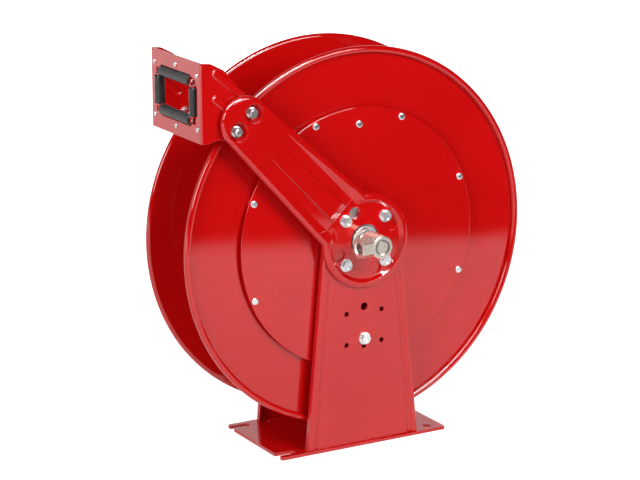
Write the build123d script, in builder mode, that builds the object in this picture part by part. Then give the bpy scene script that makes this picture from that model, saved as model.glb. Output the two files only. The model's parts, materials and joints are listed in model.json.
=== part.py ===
from build123d import *
from math import atan2, degrees
import os

os.makedirs("parts", exist_ok=True)

# Spring-retracting hose reel on two pedestals, millimetres.
# The origin is on the base plate's underside, below the middle of the axle.
# The axle runs along Y: the swivel and spring side is -Y. The hose leaves toward -X. +Z is up.

# base plate
BASE_LENGTH = 305.0
BASE_WIDTH = 186.0
BASE_THICKNESS = 5.0
BASE_CORNER_R = 4.0
BOLT_SPACING_X = 254.0
BOLT_SPACING_Y = 152.4
BOLT_HOLE_D = 14.3
OPEN_SLOT_W = 13.5
TONGUE_TIP_R = 4.6

# axle and pedestals
DISC_R = 305.0
DISC_CLEARANCE = 34.0
AXLE_Z = DISC_R + DISC_CLEARANCE
PEDESTAL_FACE = 89.0
PEDESTAL_SHEET = 3.0
PEDESTAL_DEPTH = 11.5
PEDESTAL_BEND = 5.0
PEDESTAL_FOOT_HALF = 102.0
PEDESTAL_TOP_R = 71.0
HUB_OPENING_D = 52.0
GROOVE_W = 9.5
GROOVE_DEPTH = 2.0
GROOVE_DRAFT = 45.0
GROOVE_EDGE_GAP = 15.0
GROOVE_TOP = 62.0
LATCH_HOLE_D = 12.5
LATCH_HOLE_DROP = 108.6
PATTERN_HOLE_D = 8.0
PATTERN_HALF = 32.2
PATTERN_DROPS = (117.3, 168.7)
SPARE_HOLE_DROP = 174.0
PAWL_PIVOT_DROP = 161.0

# guide arms
ARM_SHEET = 3.0
ARM_RISE = 9.0
ARM_BEND = 6.5
ARM_LIFT = 1.0
ARM_SETBACK = 6.0
ARM_LENGTH = DISC_R - ARM_SETBACK
ARM_END_R = 41.0
ARM_ROOT_HALF = 56.5
ARM_HUB_R = 77.0
DISH_R = 62.0
DISH_DRAFT = 40.0
GROUND_END = 66.0
VALLEY_START = 232.0
VALLEY_HALF = 45.0
VALLEY_WALL = 13.0
VALLEY_OVERLAP = 10.0
VALLEY_TIP_HALF = 33.0
PANEL_HALF = 15.0
PANEL_TIP_HALF = 12.0
ARM_BOLT_HALF = 18.7
DIMPLE_R = 15.5
DIMPLE_FLOOR_R = 12.0
CLOCKING_HOLE_D = 19.5
CLOCKING_HOLE_R = 50.0
CLOCKING_ANGLE = 22.5

# fasteners
BOLT_D = 9.5
BOLT_FIT = 0.5
BOLT_FLANGE_D = 21.0
BOLT_FLANGE_H = 2.2
BOLT_HEX = 14.0
BOLT_HEAD_H = 8.0
HUB_BOLT_HALF = 35.7
END_NUT_FLANGE_D = 19.4
END_NUT_HEX = 14.0
END_NUT_H = 8.0

# roller guide
GUIDE_REACH = 69.9
GUIDE_ABOVE = 95.1
GUIDE_BELOW = 28.4
GUIDE_HALF_WIDTH = 85.0
GUIDE_SHEET = 3.0
GUIDE_BEND = 4.0
RIB_W = 12.0
RIB_H = 2.2
RIB_DRAFT = 38.0
RIB_LENGTH = 58.0
ROLLER_SETBACK = 2.0
ROLLER_D = 16.5
ROLLER_BORE_CLEAR = 0.1
ROLLER_PIN_D = 6.0
ROLLER_LONG = 98.0
ROLLER_SHORT = 42.0
ROLLER_RISE = 30.2
ROLLER_SIDE = 58.75
WINDOW_HALF_Y = 50.4
WINDOW_HALF_Z = 39.8
EAR_SLOT_OUTER = 66.0
EAR_SLOT_HALF_Z = 34.5
SIDE_POCKET_OUTER = 70.5
SIDE_POCKET_HALF_Z = 22.0
RIVET_D = 4.8
RIVET_HEAD_D = 8.0
RIVET_CORNER_Y = 72.0
RIVET_CORNER_Z = 41.3
RIVET_MIDDLE_Z = 47.3
RETAINER_SHEET = 2.5
RETAINER_STRIP_W = 13.0
RETAINER_STRIP_Z = 47.5
RETAINER_PAD_H = 20.0
RETAINER_PAD_Z = 44.0
EAR_DEPTH = 13.0

# spool
DISC_SHEET = 2.5
DISC_INNER_FACE = 54.0
RIM_EDGE = 73.1
RIM_BEAD_R = 6.0
RIM_TURN_R = 6.0
BEAD_GAP = 1.4
DRUM_R = 195.0
DRUM_SHEET = 3.0
COVER_LIP = 15.0
COVER_SHEET = 2.5
COVER_FACE = 72.5
COVER_EDGE_R = 1.5
COVER_SCREW_INSET = 7.4
COVER_SCREW_COUNT = 8
COVER_SCREW_HEAD_D = 11.5
COVER_SCREW_D = 6.0
STANDOFF_D = 9.0
ANCHOR_INSET = 12.0
ANCHOR_STUD_D = 8.0
HUB_FLANGE_R = 60.0
HUB_FLANGE_T = 3.0
HUB_SLEEVE_D = 40.0
HUB_SLEEVE_L = 18.0
FAR_SLEEVE_L = 9.5
PARTITION_Y = -8.0
SHAFT_D = 25.4
SHAFT_BORE_D = 15.0
RUNNING_CLEAR = 0.05
BEARING_D = 37.0
BEARING_WIDTH = 12.0
BEARING_RECESS = 0.5
WASHER_D = 46.0
WASHER_T = 1.6
WASHER_SINK = 0.4
WASHER_COLLAR_D = 31.0
SNAP_RING_T = 1.3
FACE_GAP = 0.3
HOUSING_R = 62.0
HOUSING_T = 5.0
ARBOR_D = 48.0
ARBOR_END = -22.0
SPRING_STRIP = 1.6
SPRING_WIDTH = 44.0
SPRING_TURNS = 9
RISER_D = 20.0
RISER_BORE_D = 13.0
ELBOW_BODY_D = 27.0
ELBOW_BODY_L = 29.0
ELBOW_CENTRE = 17.0
ELBOW_COLLAR_D = 25.0
ELBOW_COLLAR_L = 18.0
ELBOW_THREAD_D = 20.9
ELBOW_RUN_L = 38.0
RATCHET_R = 66.0
RATCHET_T = 6.2
TOOTH_STEP = 30.0

# latch pawl
PAWL_T = 3.6
PAWL_LENGTH = 103.0
PAWL_PIVOT_D = 9.5
PAWL_LOCK_LEAN = 11.0
PAWL_REST_LEAN = 20.0
PAWL_TIP_W = 8.0
PAWL_PLAY = 0.4

# swivel
SWIVEL_FACE = 145.6
SWIVEL_BODY_D = 36.0
SWIVEL_BODY_L = 42.0
SWIVEL_NECK_D = 22.0
SWIVEL_COLLAR_D = 27.0
SWIVEL_STEM_D = 19.0
INLET_HEX = 28.6
INLET_MOUTH_X = -36.0
INLET_SETBACK = 14.4
INLET_BORE_D = 18.6
INLET_CHAMFER = 1.8
INLET_DEPTH = 19.0

NEAR_FACE = Plane(origin=(0, -PEDESTAL_FACE, AXLE_Z), x_dir=(1, 0, 0), z_dir=(0, -1, 0))

# ---------------------------------------------------------------- base plate
with BuildPart() as base_plate:
    with BuildSketch():
        Rectangle(BASE_LENGTH, BASE_WIDTH)
        with Locations(*[(BOLT_SPACING_X / 2, s * BOLT_SPACING_Y / 2) for s in (-1, 1)]):
            Circle(BOLT_HOLE_D / 2, mode=Mode.SUBTRACT)
        with Locations(*[(-BOLT_SPACING_X / 2, s * BOLT_SPACING_Y / 2) for s in (-1, 1)]):
            Circle(OPEN_SLOT_W / 2, mode=Mode.SUBTRACT)
        slot_run = (BASE_LENGTH - BOLT_SPACING_X) / 2 + 1
        with Locations(*[(-BOLT_SPACING_X / 2 - slot_run / 2, s * BOLT_SPACING_Y / 2) for s in (-1, 1)]):
            Rectangle(slot_run, OPEN_SLOT_W, mode=Mode.SUBTRACT)
    extrude(amount=BASE_THICKNESS)
    tongue_y = BOLT_SPACING_Y / 2 + OPEN_SLOT_W / 2 - 0.5
    left_edges = base_plate.edges().filter_by(Axis.Z).filter_by_position(
        Axis.X, -BASE_LENGTH / 2 - 0.1, -BASE_LENGTH / 2 + 0.1)
    fillet(left_edges.filter_by(lambda e: abs(e.center().Y) > tongue_y), radius=TONGUE_TIP_R)
    fillet(base_plate.edges().filter_by(Axis.Z).filter_by_position(
        Axis.X, BASE_LENGTH / 2 - 0.1, BASE_LENGTH / 2 + 0.1), radius=BASE_CORNER_R)
base_plate.part.label = "base_plate"
export_step(base_plate.part, "parts/base_plate.step")

# ---------------------------------------------------------------- pedestals
foot_drop = AXLE_Z - BASE_THICKNESS
pedestal_lean = (PEDESTAL_FOOT_HALF - PEDESTAL_TOP_R) / foot_drop
pedestal_skins = []
for skin in (0.0, PEDESTAL_SHEET):
    with BuildPart() as pedestal_block:
        with BuildSketch(NEAR_FACE.offset(-PEDESTAL_DEPTH)):
            Circle(PEDESTAL_TOP_R - skin)
            Polygon(
                (-PEDESTAL_TOP_R + skin, 0), (PEDESTAL_TOP_R - skin, 0),
                (PEDESTAL_FOOT_HALF - skin, -foot_drop), (-PEDESTAL_FOOT_HALF + skin, -foot_drop), align=None)
        extrude(amount=PEDESTAL_DEPTH - skin)
        face_edges = pedestal_block.faces().sort_by(Axis.Y)[0].edges()
        fillet(face_edges.filter_by(lambda e: e.center().Z > BASE_THICKNESS + 1), radius=PEDESTAL_BEND - skin)
    pedestal_skins.append(pedestal_block.part)

with BuildPart() as pedestal_near:
    add(pedestal_skins[0])
    add(pedestal_skins[1], mode=Mode.SUBTRACT)
    # pressed grooves beside both edges: raised backs first, then the channels
    for width, start, mode in (
            (GROOVE_W + 0.8 * PEDESTAL_SHEET, PEDESTAL_SHEET, Mode.ADD), (GROOVE_W, 0.0, Mode.SUBTRACT)):
        with BuildSketch(NEAR_FACE.offset(-start)):
            for side in (-1, 1):
                top_half = PEDESTAL_TOP_R + pedestal_lean * GROOVE_TOP - GROOVE_EDGE_GAP
                top = Vector(side * top_half, -GROOVE_TOP)
                foot = Vector(side * (PEDESTAL_FOOT_HALF - GROOVE_EDGE_GAP), -foot_drop)
                SlotCenterPoint(center=(top + foot) / 2, point=foot, height=width)
        extrude(amount=-GROOVE_DEPTH, taper=GROOVE_DRAFT, mode=mode)
    with BuildSketch(Plane.XY.offset(BASE_THICKNESS)):
        Rectangle(3 * PEDESTAL_FOOT_HALF, 3 * PEDESTAL_FACE)
    extrude(amount=-2 * GROOVE_W, mode=Mode.SUBTRACT)
    with BuildSketch(NEAR_FACE):
        Circle(HUB_OPENING_D / 2)
        with GridLocations(2 * HUB_BOLT_HALF, 2 * HUB_BOLT_HALF, 2, 2):
            Circle((BOLT_D + BOLT_FIT) / 2)
        with PolarLocations(CLOCKING_HOLE_R, 1, start_angle=90 + CLOCKING_ANGLE):
            Circle(CLOCKING_HOLE_D / 2)
        with Locations((0, -LATCH_HOLE_DROP)):
            Circle(LATCH_HOLE_D / 2)
        pattern_spots = [(s * PATTERN_HALF, -d) for s in (-1, 1) for d in PATTERN_DROPS]
        with Locations((0, -SPARE_HOLE_DROP), *pattern_spots):
            Circle(PATTERN_HOLE_D / 2)
        with Locations((0, -PAWL_PIVOT_DROP)):
            Circle((PAWL_PIVOT_D + BOLT_FIT) / 2)
    extrude(amount=-2 * PEDESTAL_SHEET, mode=Mode.SUBTRACT)
pedestal_near.part.label = "pedestal_near"
export_step(pedestal_near.part, "parts/pedestal_near.step")

with BuildPart() as pedestal_far:
    mirror(pedestal_near.part, about=Plane.XZ)
pedestal_far.part.label = "pedestal_far"
export_step(pedestal_far.part, "parts/pedestal_far.step")

# ---------------------------------------------------------------- guide arms
# local frame of the near arm: x runs from the axle to the roller end, z outward from the pedestal's face
diagonal = 2 ** -0.5
ARM_PLANE = Plane(origin=(0, -PEDESTAL_FACE, AXLE_Z), x_dir=(-diagonal, 0, diagonal), z_dir=(0, -1, 0))
dimple_floor = GUIDE_HALF_WIDTH - PEDESTAL_FACE
dimple_spots = [(ARM_LENGTH, s * ARM_BOLT_HALF) for s in (-1, 1)]
valley_foot = VALLEY_HALF - VALLEY_WALL
valley_draft = degrees(atan2(VALLEY_WALL, ARM_RISE - ARM_SHEET))
arm_skins = []
for skin in (0.0, ARM_SHEET):
    top = ARM_RISE - skin
    floor = ARM_SHEET - skin
    with BuildPart() as arm_block:
        with BuildSketch(ARM_PLANE):
            Circle(ARM_HUB_R - skin)
            with Locations((ARM_LENGTH, 0)):
                Circle(ARM_END_R - skin)
            Polygon(
                (0, ARM_ROOT_HALF - skin), (0, skin - ARM_ROOT_HALF),
                (ARM_LENGTH, skin - ARM_END_R), (ARM_LENGTH, ARM_END_R - skin), align=None)
        extrude(amount=top)
        fillet(arm_block.faces().sort_by(Axis.Y)[0].edges(), radius=ARM_BEND - skin)
        # dished ground round the hub
        with BuildSketch(ARM_PLANE.offset(floor)):
            Circle(DISH_R + skin)
        extrude(amount=ARM_RISE, taper=-DISH_DRAFT, mode=Mode.SUBTRACT)
        with BuildSketch(ARM_PLANE.offset(floor)):
            with Locations((GROUND_END / 2, 0)):
                Rectangle(GROUND_END + skin, 2 * valley_foot + skin)
        extrude(amount=ARM_RISE - ARM_SHEET + 0.5, taper=-valley_draft, mode=Mode.SUBTRACT)
    with BuildPart() as arm_valleys:
        # two valleys that rise from the dish to the front face, either side of the centre panel
        for side in (-1, 1):
            with BuildSketch(Plane(ARM_PLANE.from_local_coords((GROUND_END - VALLEY_OVERLAP, 0, 0)),
                                   x_dir=ARM_PLANE.y_dir, z_dir=ARM_PLANE.x_dir)):
                Polygon(
                    (side * (PANEL_HALF + 3 - skin), floor), (side * (valley_foot + skin / 2), floor),
                    (side * (VALLEY_HALF + skin / 2), top), (side * (VALLEY_HALF + skin / 2), ARM_RISE + 1),
                    (side * (PANEL_HALF - skin), ARM_RISE + 1),
                    align=None)
            with BuildSketch(Plane(ARM_PLANE.from_local_coords((VALLEY_START, 0, 0)),
                                   x_dir=ARM_PLANE.y_dir, z_dir=ARM_PLANE.x_dir)):
                Polygon(
                    (side * (PANEL_TIP_HALF + 0.3 - skin), top - 0.05),
                    (side * (VALLEY_TIP_HALF - 0.3 + skin / 2), top - 0.05),
                    (side * (VALLEY_TIP_HALF + skin / 2), top),
                    (side * (VALLEY_TIP_HALF + skin / 2), ARM_RISE + 1),
                    (side * (PANEL_TIP_HALF - skin), ARM_RISE + 1),
                    align=None)
            loft(ruled=True)
    arm_skins.append(arm_block.part - arm_valleys.part)

with BuildPart() as guide_arm_near:
    add(arm_skins[0])
    add(arm_skins[1], mode=Mode.SUBTRACT)
    # the outer flange stops short of the pedestal's face
    with BuildSketch(ARM_PLANE):
        Rectangle(3 * ARM_LENGTH, 3 * ARM_HUB_R)
        Circle(DISH_R + ARM_SHEET, mode=Mode.SUBTRACT)
    extrude(amount=ARM_LIFT, mode=Mode.SUBTRACT)
    # bolt dimples that reach in to the roller guide
    dimple_depth = ARM_RISE - dimple_floor - ARM_SHEET
    with Locations(*[ARM_PLANE * Location((x, y, dimple_floor)) for x, y in dimple_spots]):
        Cone(DIMPLE_FLOOR_R + ARM_SHEET, DIMPLE_R + ARM_SHEET, dimple_depth,
             align=(Align.CENTER, Align.CENTER, Align.MIN))
    with Locations(*[ARM_PLANE * Location((x, y, dimple_floor + ARM_SHEET)) for x, y in dimple_spots]):
        Cone(DIMPLE_FLOOR_R, DIMPLE_R, dimple_depth + 0.01,
             align=(Align.CENTER, Align.CENTER, Align.MIN), mode=Mode.SUBTRACT)
    with BuildSketch(ARM_PLANE.offset(ARM_RISE)):
        with Locations(*dimple_spots):
            Circle((BOLT_D + BOLT_FIT) / 2)
        Circle(HUB_OPENING_D / 2)
        with PolarLocations(HUB_BOLT_HALF * 2 ** 0.5, 4, start_angle=0):
            Circle((BOLT_D + BOLT_FIT) / 2)
        with PolarLocations(CLOCKING_HOLE_R, 4, start_angle=CLOCKING_ANGLE - 45):
            Circle(CLOCKING_HOLE_D / 2)
    extrude(amount=-3 * ARM_RISE, mode=Mode.SUBTRACT)
guide_arm_near.part.label = "guide_arm_near"
export_step(guide_arm_near.part, "parts/guide_arm_near.step")

with BuildPart() as guide_arm_far:
    mirror(guide_arm_near.part, about=Plane.XZ)
guide_arm_far.part.label = "guide_arm_far"
export_step(guide_arm_far.part, "parts/guide_arm_far.step")

# ---------------------------------------------------------------- roller guide
arm_end = Vector(-ARM_LENGTH * diagonal, ARM_LENGTH * diagonal)
guide_x = arm_end.X - GUIDE_REACH
guide_top = arm_end.Y + GUIDE_ABOVE
guide_bottom = arm_end.Y - GUIDE_BELOW
guide_middle = AXLE_Z + (guide_top + guide_bottom) / 2
guide_height = guide_top - guide_bottom
roller_x = guide_x + ROLLER_SETBACK
GUIDE_FACE = Plane(origin=(guide_x, 0, guide_middle), x_dir=(0, -1, 0), z_dir=(-1, 0, 0))
CHEEK_PLANE = Plane(origin=(0, -GUIDE_HALF_WIDTH, AXLE_Z), x_dir=(1, 0, 0), z_dir=(0, -1, 0))
bolt_step = ARM_BOLT_HALF * diagonal
cheek_round = ARM_END_R - ARM_BEND - 8
with BuildPart() as roller_guide:
    with BuildSketch(CHEEK_PLANE):
        Polygon(
            (guide_x, guide_top), (guide_x + 17, guide_top - 2), (guide_x + 38, guide_top - 13),
            (arm_end.X + cheek_round * diagonal - 6, arm_end.Y + cheek_round * diagonal + 12),
            (arm_end.X + cheek_round, arm_end.Y), (arm_end.X - 12, arm_end.Y - cheek_round),
            (guide_x + 24, guide_bottom + 4), (guide_x + 12, guide_bottom),
            (guide_x, guide_bottom), align=None)
    extrude(amount=-2 * GUIDE_HALF_WIDTH)
    cheek_corners = roller_guide.edges().filter_by(Axis.Y).filter_by(
        lambda e: e.center().X > guide_x + 5)
    fillet(cheek_corners, radius=9)
    front_corners = roller_guide.edges().filter_by(Axis.Z).filter_by_position(
        Axis.X, guide_x - 0.1, guide_x + 0.1)
    fillet(front_corners, radius=GUIDE_BEND)
    guide_back = Plane(origin=(guide_x + GUIDE_SHEET, 0, guide_middle), x_dir=(0, 1, 0), z_dir=(1, 0, 0))
    with BuildSketch(guide_back):
        RectangleRounded(2 * (GUIDE_HALF_WIDTH - GUIDE_SHEET), 2 * guide_height, 1.0)
    extrude(amount=ARM_LENGTH, mode=Mode.SUBTRACT)
    # diagonal stiffening ribs, pressed outward on both cheeks
    rib_skins = ((0.0, RIB_W, Mode.ADD), (-GUIDE_SHEET, RIB_W - GUIDE_SHEET, Mode.SUBTRACT))
    for start_x, start_z, length in ((guide_x + 25, guide_top - 18, RIB_LENGTH),
                                     (guide_x + 24.5, guide_top - 56.5, RIB_LENGTH / 2)):
        for side in (-1, 1):
            for offset, width, mode in rib_skins:
                cheek_y = side * (GUIDE_HALF_WIDTH + offset)
                with BuildSketch(Plane(origin=(0, cheek_y, AXLE_Z), x_dir=(-side, 0, 0), z_dir=(0, side, 0))):
                    start = Vector(-side * start_x, start_z)
                    finish = start + Vector(-side * length * diagonal * 1.07, -length * diagonal * 0.9)
                    SlotCenterPoint(center=(start + finish) / 2, point=finish, height=width)
                extrude(amount=RIB_H, taper=RIB_DRAFT, mode=mode)
    # roller window with pockets for the upright rollers and slots for the retainer's ears
    with BuildSketch(GUIDE_FACE):
        RectangleRounded(2 * WINDOW_HALF_Y, 2 * WINDOW_HALF_Z, 2.0)
        RectangleRounded(2 * SIDE_POCKET_OUTER, 2 * SIDE_POCKET_HALF_Z, 2.0)
        RectangleRounded(2 * EAR_SLOT_OUTER, 2 * EAR_SLOT_HALF_Z, 2.0)
    extrude(amount=-2 * GUIDE_SHEET, mode=Mode.SUBTRACT)
    with BuildSketch(GUIDE_FACE):
        with GridLocations(2 * RIVET_CORNER_Y, 2 * RIVET_CORNER_Z, 2, 2):
            Circle(RIVET_D / 2)
        with GridLocations(1, 2 * RIVET_MIDDLE_Z, 1, 2):
            Circle(RIVET_D / 2)
    extrude(amount=-2 * GUIDE_SHEET, mode=Mode.SUBTRACT)
    with BuildSketch(CHEEK_PLANE):
        with Locations(*[(arm_end.X + s * bolt_step, arm_end.Y + s * bolt_step) for s in (-1, 1)]):
            Circle((BOLT_D + BOLT_FIT) / 2)
    extrude(amount=-2 * GUIDE_HALF_WIDTH, mode=Mode.SUBTRACT)
roller_guide.part.label = "roller_guide"
export_step(roller_guide.part, "parts/roller_guide.step")

# stamped retainers behind the plate carry the ends of all four roller pins
back_x = guide_x + GUIDE_SHEET
ear_y = WINDOW_HALF_Y + 1.6
retainer_half = GUIDE_HALF_WIDTH - GUIDE_SHEET - 2
ear_front = roller_x - EAR_DEPTH / 2 + 1.5
ear_bottom = ROLLER_SHORT / 2 + 1.4
ear_rise = RETAINER_STRIP_Z + 5.5 - ear_bottom
retainers = {}
for name, flip in (("retainer_upper", 1), ("retainer_lower", -1)):
    with BuildPart() as retainer:
        strip_plane = Plane(origin=(back_x, 0, guide_middle), x_dir=(0, 1, 0), z_dir=(1, 0, 0))
        with BuildSketch(strip_plane):
            with Locations((0, flip * RETAINER_STRIP_Z)):
                Rectangle(2 * retainer_half, RETAINER_STRIP_W)
            for side in (-1, 1):
                with Locations((side * (retainer_half - RETAINER_STRIP_W / 2), flip * RETAINER_PAD_Z)):
                    Rectangle(RETAINER_STRIP_W, RETAINER_PAD_H)
        extrude(amount=RETAINER_SHEET)
        up = Align.MIN if flip > 0 else Align.MAX
        ear_z = guide_middle + flip * ear_bottom
        for side in (-1, 1):
            # upright ear for the level pin, then a level tab for the upright pin
            out = Align.MIN if side > 0 else Align.MAX
            with Locations((ear_front, side * (ear_y + RETAINER_SHEET / 2), ear_z)):
                Box(EAR_DEPTH, RETAINER_SHEET, EAR_SLOT_HALF_Z - ear_bottom - FACE_GAP,
                    align=(Align.MIN, Align.CENTER, up))
            with Locations((back_x + 0.1, side * (ear_y + RETAINER_SHEET / 2), ear_z)):
                Box(ear_front + EAR_DEPTH - back_x + 0.9, RETAINER_SHEET, ear_rise,
                    align=(Align.MIN, Align.CENTER, up))
            with Locations((ear_front, side * ear_y, ear_z)):
                Box(EAR_DEPTH, EAR_SLOT_OUTER - ear_y - 1, RETAINER_SHEET, align=(Align.MIN, out, up))
        with Locations((roller_x, 0, guide_middle + flip * ROLLER_RISE)):
            Cylinder(ROLLER_PIN_D / 2, 2 * GUIDE_HALF_WIDTH, rotation=(90, 0, 0), mode=Mode.SUBTRACT)
        with Locations(*[(roller_x, s * ROLLER_SIDE, guide_middle) for s in (-1, 1)]):
            Cylinder(ROLLER_PIN_D / 2, 2 * (ear_bottom + RETAINER_SHEET + 1), mode=Mode.SUBTRACT)
        with BuildSketch(GUIDE_FACE):
            with GridLocations(2 * RIVET_CORNER_Y, 2 * RIVET_CORNER_Z, 2, 2):
                Circle(RIVET_D / 2)
            with GridLocations(1, 2 * RIVET_MIDDLE_Z, 1, 2):
                Circle(RIVET_D / 2)
        extrude(amount=-4 * GUIDE_SHEET, mode=Mode.SUBTRACT)
    retainer.part.label = name
    export_step(retainer.part, "parts/" + name + ".step")

with BuildPart() as roller_rivets:
    for plane, depth in ((GUIDE_FACE, 1.2), (GUIDE_FACE.offset(-GUIDE_SHEET - RETAINER_SHEET - 1.2), 1.2)):
        with BuildSketch(plane):
            with GridLocations(2 * RIVET_CORNER_Y, 2 * RIVET_CORNER_Z, 2, 2):
                Circle(RIVET_HEAD_D / 2)
            with GridLocations(1, 2 * RIVET_MIDDLE_Z, 1, 2):
                Circle(RIVET_HEAD_D / 2)
        extrude(amount=depth)
    with BuildSketch(GUIDE_FACE):
        with GridLocations(2 * RIVET_CORNER_Y, 2 * RIVET_CORNER_Z, 2, 2):
            Circle(RIVET_D / 2)
        with GridLocations(1, 2 * RIVET_MIDDLE_Z, 1, 2):
            Circle(RIVET_D / 2)
    extrude(amount=-GUIDE_SHEET - RETAINER_SHEET)
    fillet(roller_rivets.faces().sort_by(Axis.X)[:6].edges(), radius=0.8)
roller_rivets.part.label = "roller_rivets"
export_step(roller_rivets.part, "parts/roller_rivets.step")

# four rollers on pins: two level, two upright
level_spots = [(roller_x, 0, guide_middle + s * ROLLER_RISE) for s in (1, -1)]
upright_spots = [(roller_x, s * ROLLER_SIDE, guide_middle) for s in (-1, 1)]
for name, spot, length, turn in (
        ("roller_top", level_spots[0], ROLLER_LONG, 90),
        ("roller_bottom", level_spots[1], ROLLER_LONG, 90),
        ("roller_near", upright_spots[0], ROLLER_SHORT, 0),
        ("roller_far", upright_spots[1], ROLLER_SHORT, 0)):
    with BuildPart() as roller:
        with Locations(Location(spot, (turn, 0, 0))):
            Cylinder(ROLLER_D / 2, length)
            fillet(roller.edges(), radius=1.2)
            Cylinder(ROLLER_PIN_D / 2 + ROLLER_BORE_CLEAR, length, mode=Mode.SUBTRACT)
            with BuildPart(mode=Mode.PRIVATE) as seam:
                Cylinder(ROLLER_D / 2 + 1, 0.8)
                Cylinder(ROLLER_D / 2 - 0.5, 0.8, mode=Mode.SUBTRACT)
            add(seam.part, mode=Mode.SUBTRACT)
    roller.part.label = name
    export_step(roller.part, "parts/" + name + ".step")

with BuildPart() as roller_pins:
    with Locations(*[Location(spot, (90, 0, 0)) for spot in level_spots]):
        Cylinder(ROLLER_PIN_D / 2, 2 * (ear_y + RETAINER_SHEET + 0.6))
    with Locations(*upright_spots):
        Cylinder(ROLLER_PIN_D / 2, 2 * (ear_bottom + RETAINER_SHEET + 0.6))
    chamfer(roller_pins.edges().filter_by(GeomType.CIRCLE), length=0.5)
roller_pins.part.label = "roller_pins"
export_step(roller_pins.part, "parts/roller_pins.step")

# ---------------------------------------------------------------- fasteners of the frame
FAR_FACE = Plane(origin=(0, PEDESTAL_FACE, AXLE_Z), x_dir=(-1, 0, 0), z_dir=(0, 1, 0))
arm_floor = ARM_SHEET
square = [(x, z) for x in (-HUB_BOLT_HALF, HUB_BOLT_HALF) for z in (-HUB_BOLT_HALF, HUB_BOLT_HALF)]
for name, face in (("hub_bolts_near", NEAR_FACE), ("hub_bolts_far", FAR_FACE)):
    with BuildPart() as hub_bolts:
        with BuildSketch(face.offset(-HOUSING_T - PEDESTAL_SHEET + 0.2)):
            with Locations(*square):
                Circle(BOLT_D / 2)
        extrude(amount=HOUSING_T + PEDESTAL_SHEET + arm_floor - 0.2)
        with BuildSketch(face.offset(arm_floor)):
            with Locations(*square):
                Circle(BOLT_FLANGE_D / 2)
        extrude(amount=BOLT_FLANGE_H, taper=12)
        with BuildSketch(face.offset(arm_floor + BOLT_FLANGE_H)):
            with Locations(*square):
                RegularPolygon(BOLT_HEX / 2, 6, major_radius=False)
        extrude(amount=BOLT_HEAD_H - BOLT_FLANGE_H)
        with BuildSketch(face.offset(arm_floor + BOLT_HEAD_H - 1.4)):
            with Locations(*square):
                Circle(BOLT_HEX / 2 - 2)
        extrude(amount=1.6, mode=Mode.SUBTRACT)
    hub_bolts.part.label = name
    export_step(hub_bolts.part, "parts/" + name + ".step")

arm_end_spots = [(arm_end.X + s * bolt_step, arm_end.Y + s * bolt_step) for s in (-1, 1)]
for name, side in (("arm_end_bolts_near", -1), ("arm_end_bolts_far", 1)):
    cheek = Plane(origin=(0, side * GUIDE_HALF_WIDTH, AXLE_Z), x_dir=(-side, 0, 0), z_dir=(0, side, 0))
    spots = [(-side * x, z) for x, z in arm_end_spots]
    dimple_out = dimple_floor + ARM_SHEET
    with BuildPart() as end_bolts:
        with BuildSketch(cheek.offset(-GUIDE_SHEET)):
            with Locations(*spots):
                Circle(9.5)
        extrude(amount=-5, taper=30)
        with BuildSketch(cheek.offset(-GUIDE_SHEET)):
            with Locations(*spots):
                Circle(BOLT_D / 2)
        extrude(amount=GUIDE_SHEET + PEDESTAL_FACE - GUIDE_HALF_WIDTH + dimple_out + END_NUT_H + 1.5)
        chamfer(end_bolts.faces().sort_by(Axis.Y)[0 if side < 0 else -1].edges(), length=0.8)
    end_bolts.part.label = name
    export_step(end_bolts.part, "parts/" + name + ".step")

for name, side in (("arm_end_nuts_near", -1), ("arm_end_nuts_far", 1)):
    dimple_y = side * (GUIDE_HALF_WIDTH + ARM_SHEET)
    dimple = Plane(origin=(0, dimple_y, AXLE_Z), x_dir=(-side, 0, 0), z_dir=(0, side, 0))
    spots = [(-side * x, z) for x, z in arm_end_spots]
    with BuildPart() as end_nuts:
        with BuildSketch(dimple):
            with Locations(*spots):
                Circle(END_NUT_FLANGE_D / 2)
        extrude(amount=2.2, taper=14)
        with BuildSketch(dimple):
            with Locations(*spots):
                RegularPolygon(END_NUT_HEX / 2, 6, major_radius=False)
        extrude(amount=END_NUT_H)
        with BuildSketch(dimple):
            with Locations(*spots):
                Circle(BOLT_D / 2)
        extrude(amount=END_NUT_H, mode=Mode.SUBTRACT)
    end_nuts.part.label = name
    export_step(end_nuts.part, "parts/" + name + ".step")

# ---------------------------------------------------------------- bearings in bolted housings
with BuildPart() as spring_arbor:
    with BuildSketch(NEAR_FACE.offset(-PEDESTAL_SHEET)):
        Circle(HOUSING_R)
    extrude(amount=-HOUSING_T)
    fillet(spring_arbor.edges().sort_by(Axis.Y)[-1], radius=1.5)
    with BuildSketch(NEAR_FACE.offset(-PEDESTAL_SHEET)):
        Circle(ARBOR_D / 2)
    extrude(amount=-(PEDESTAL_FACE - PEDESTAL_SHEET + ARBOR_END))
    with BuildSketch(NEAR_FACE):
        Circle(SHAFT_D / 2 + 0.8)
    extrude(amount=-PEDESTAL_FACE, mode=Mode.SUBTRACT)
    with BuildSketch(NEAR_FACE):
        Circle(BEARING_D / 2)
    extrude(amount=-PEDESTAL_SHEET - BEARING_RECESS - BEARING_WIDTH, mode=Mode.SUBTRACT)
    with BuildSketch(NEAR_FACE):
        with Locations(*square):
            Circle(BOLT_D / 2)
    extrude(amount=-PEDESTAL_SHEET - HOUSING_T, mode=Mode.SUBTRACT)
    # slot for the mainspring's inner hook
    hook_slot = SPRING_WIDTH + 4
    with Locations((0, ARBOR_END - hook_slot / 2, AXLE_Z + ARBOR_D / 2)):
        Box(3.2, hook_slot, 14, mode=Mode.SUBTRACT)
spring_arbor.part.label = "spring_arbor"
export_step(spring_arbor.part, "parts/spring_arbor.step")

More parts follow.
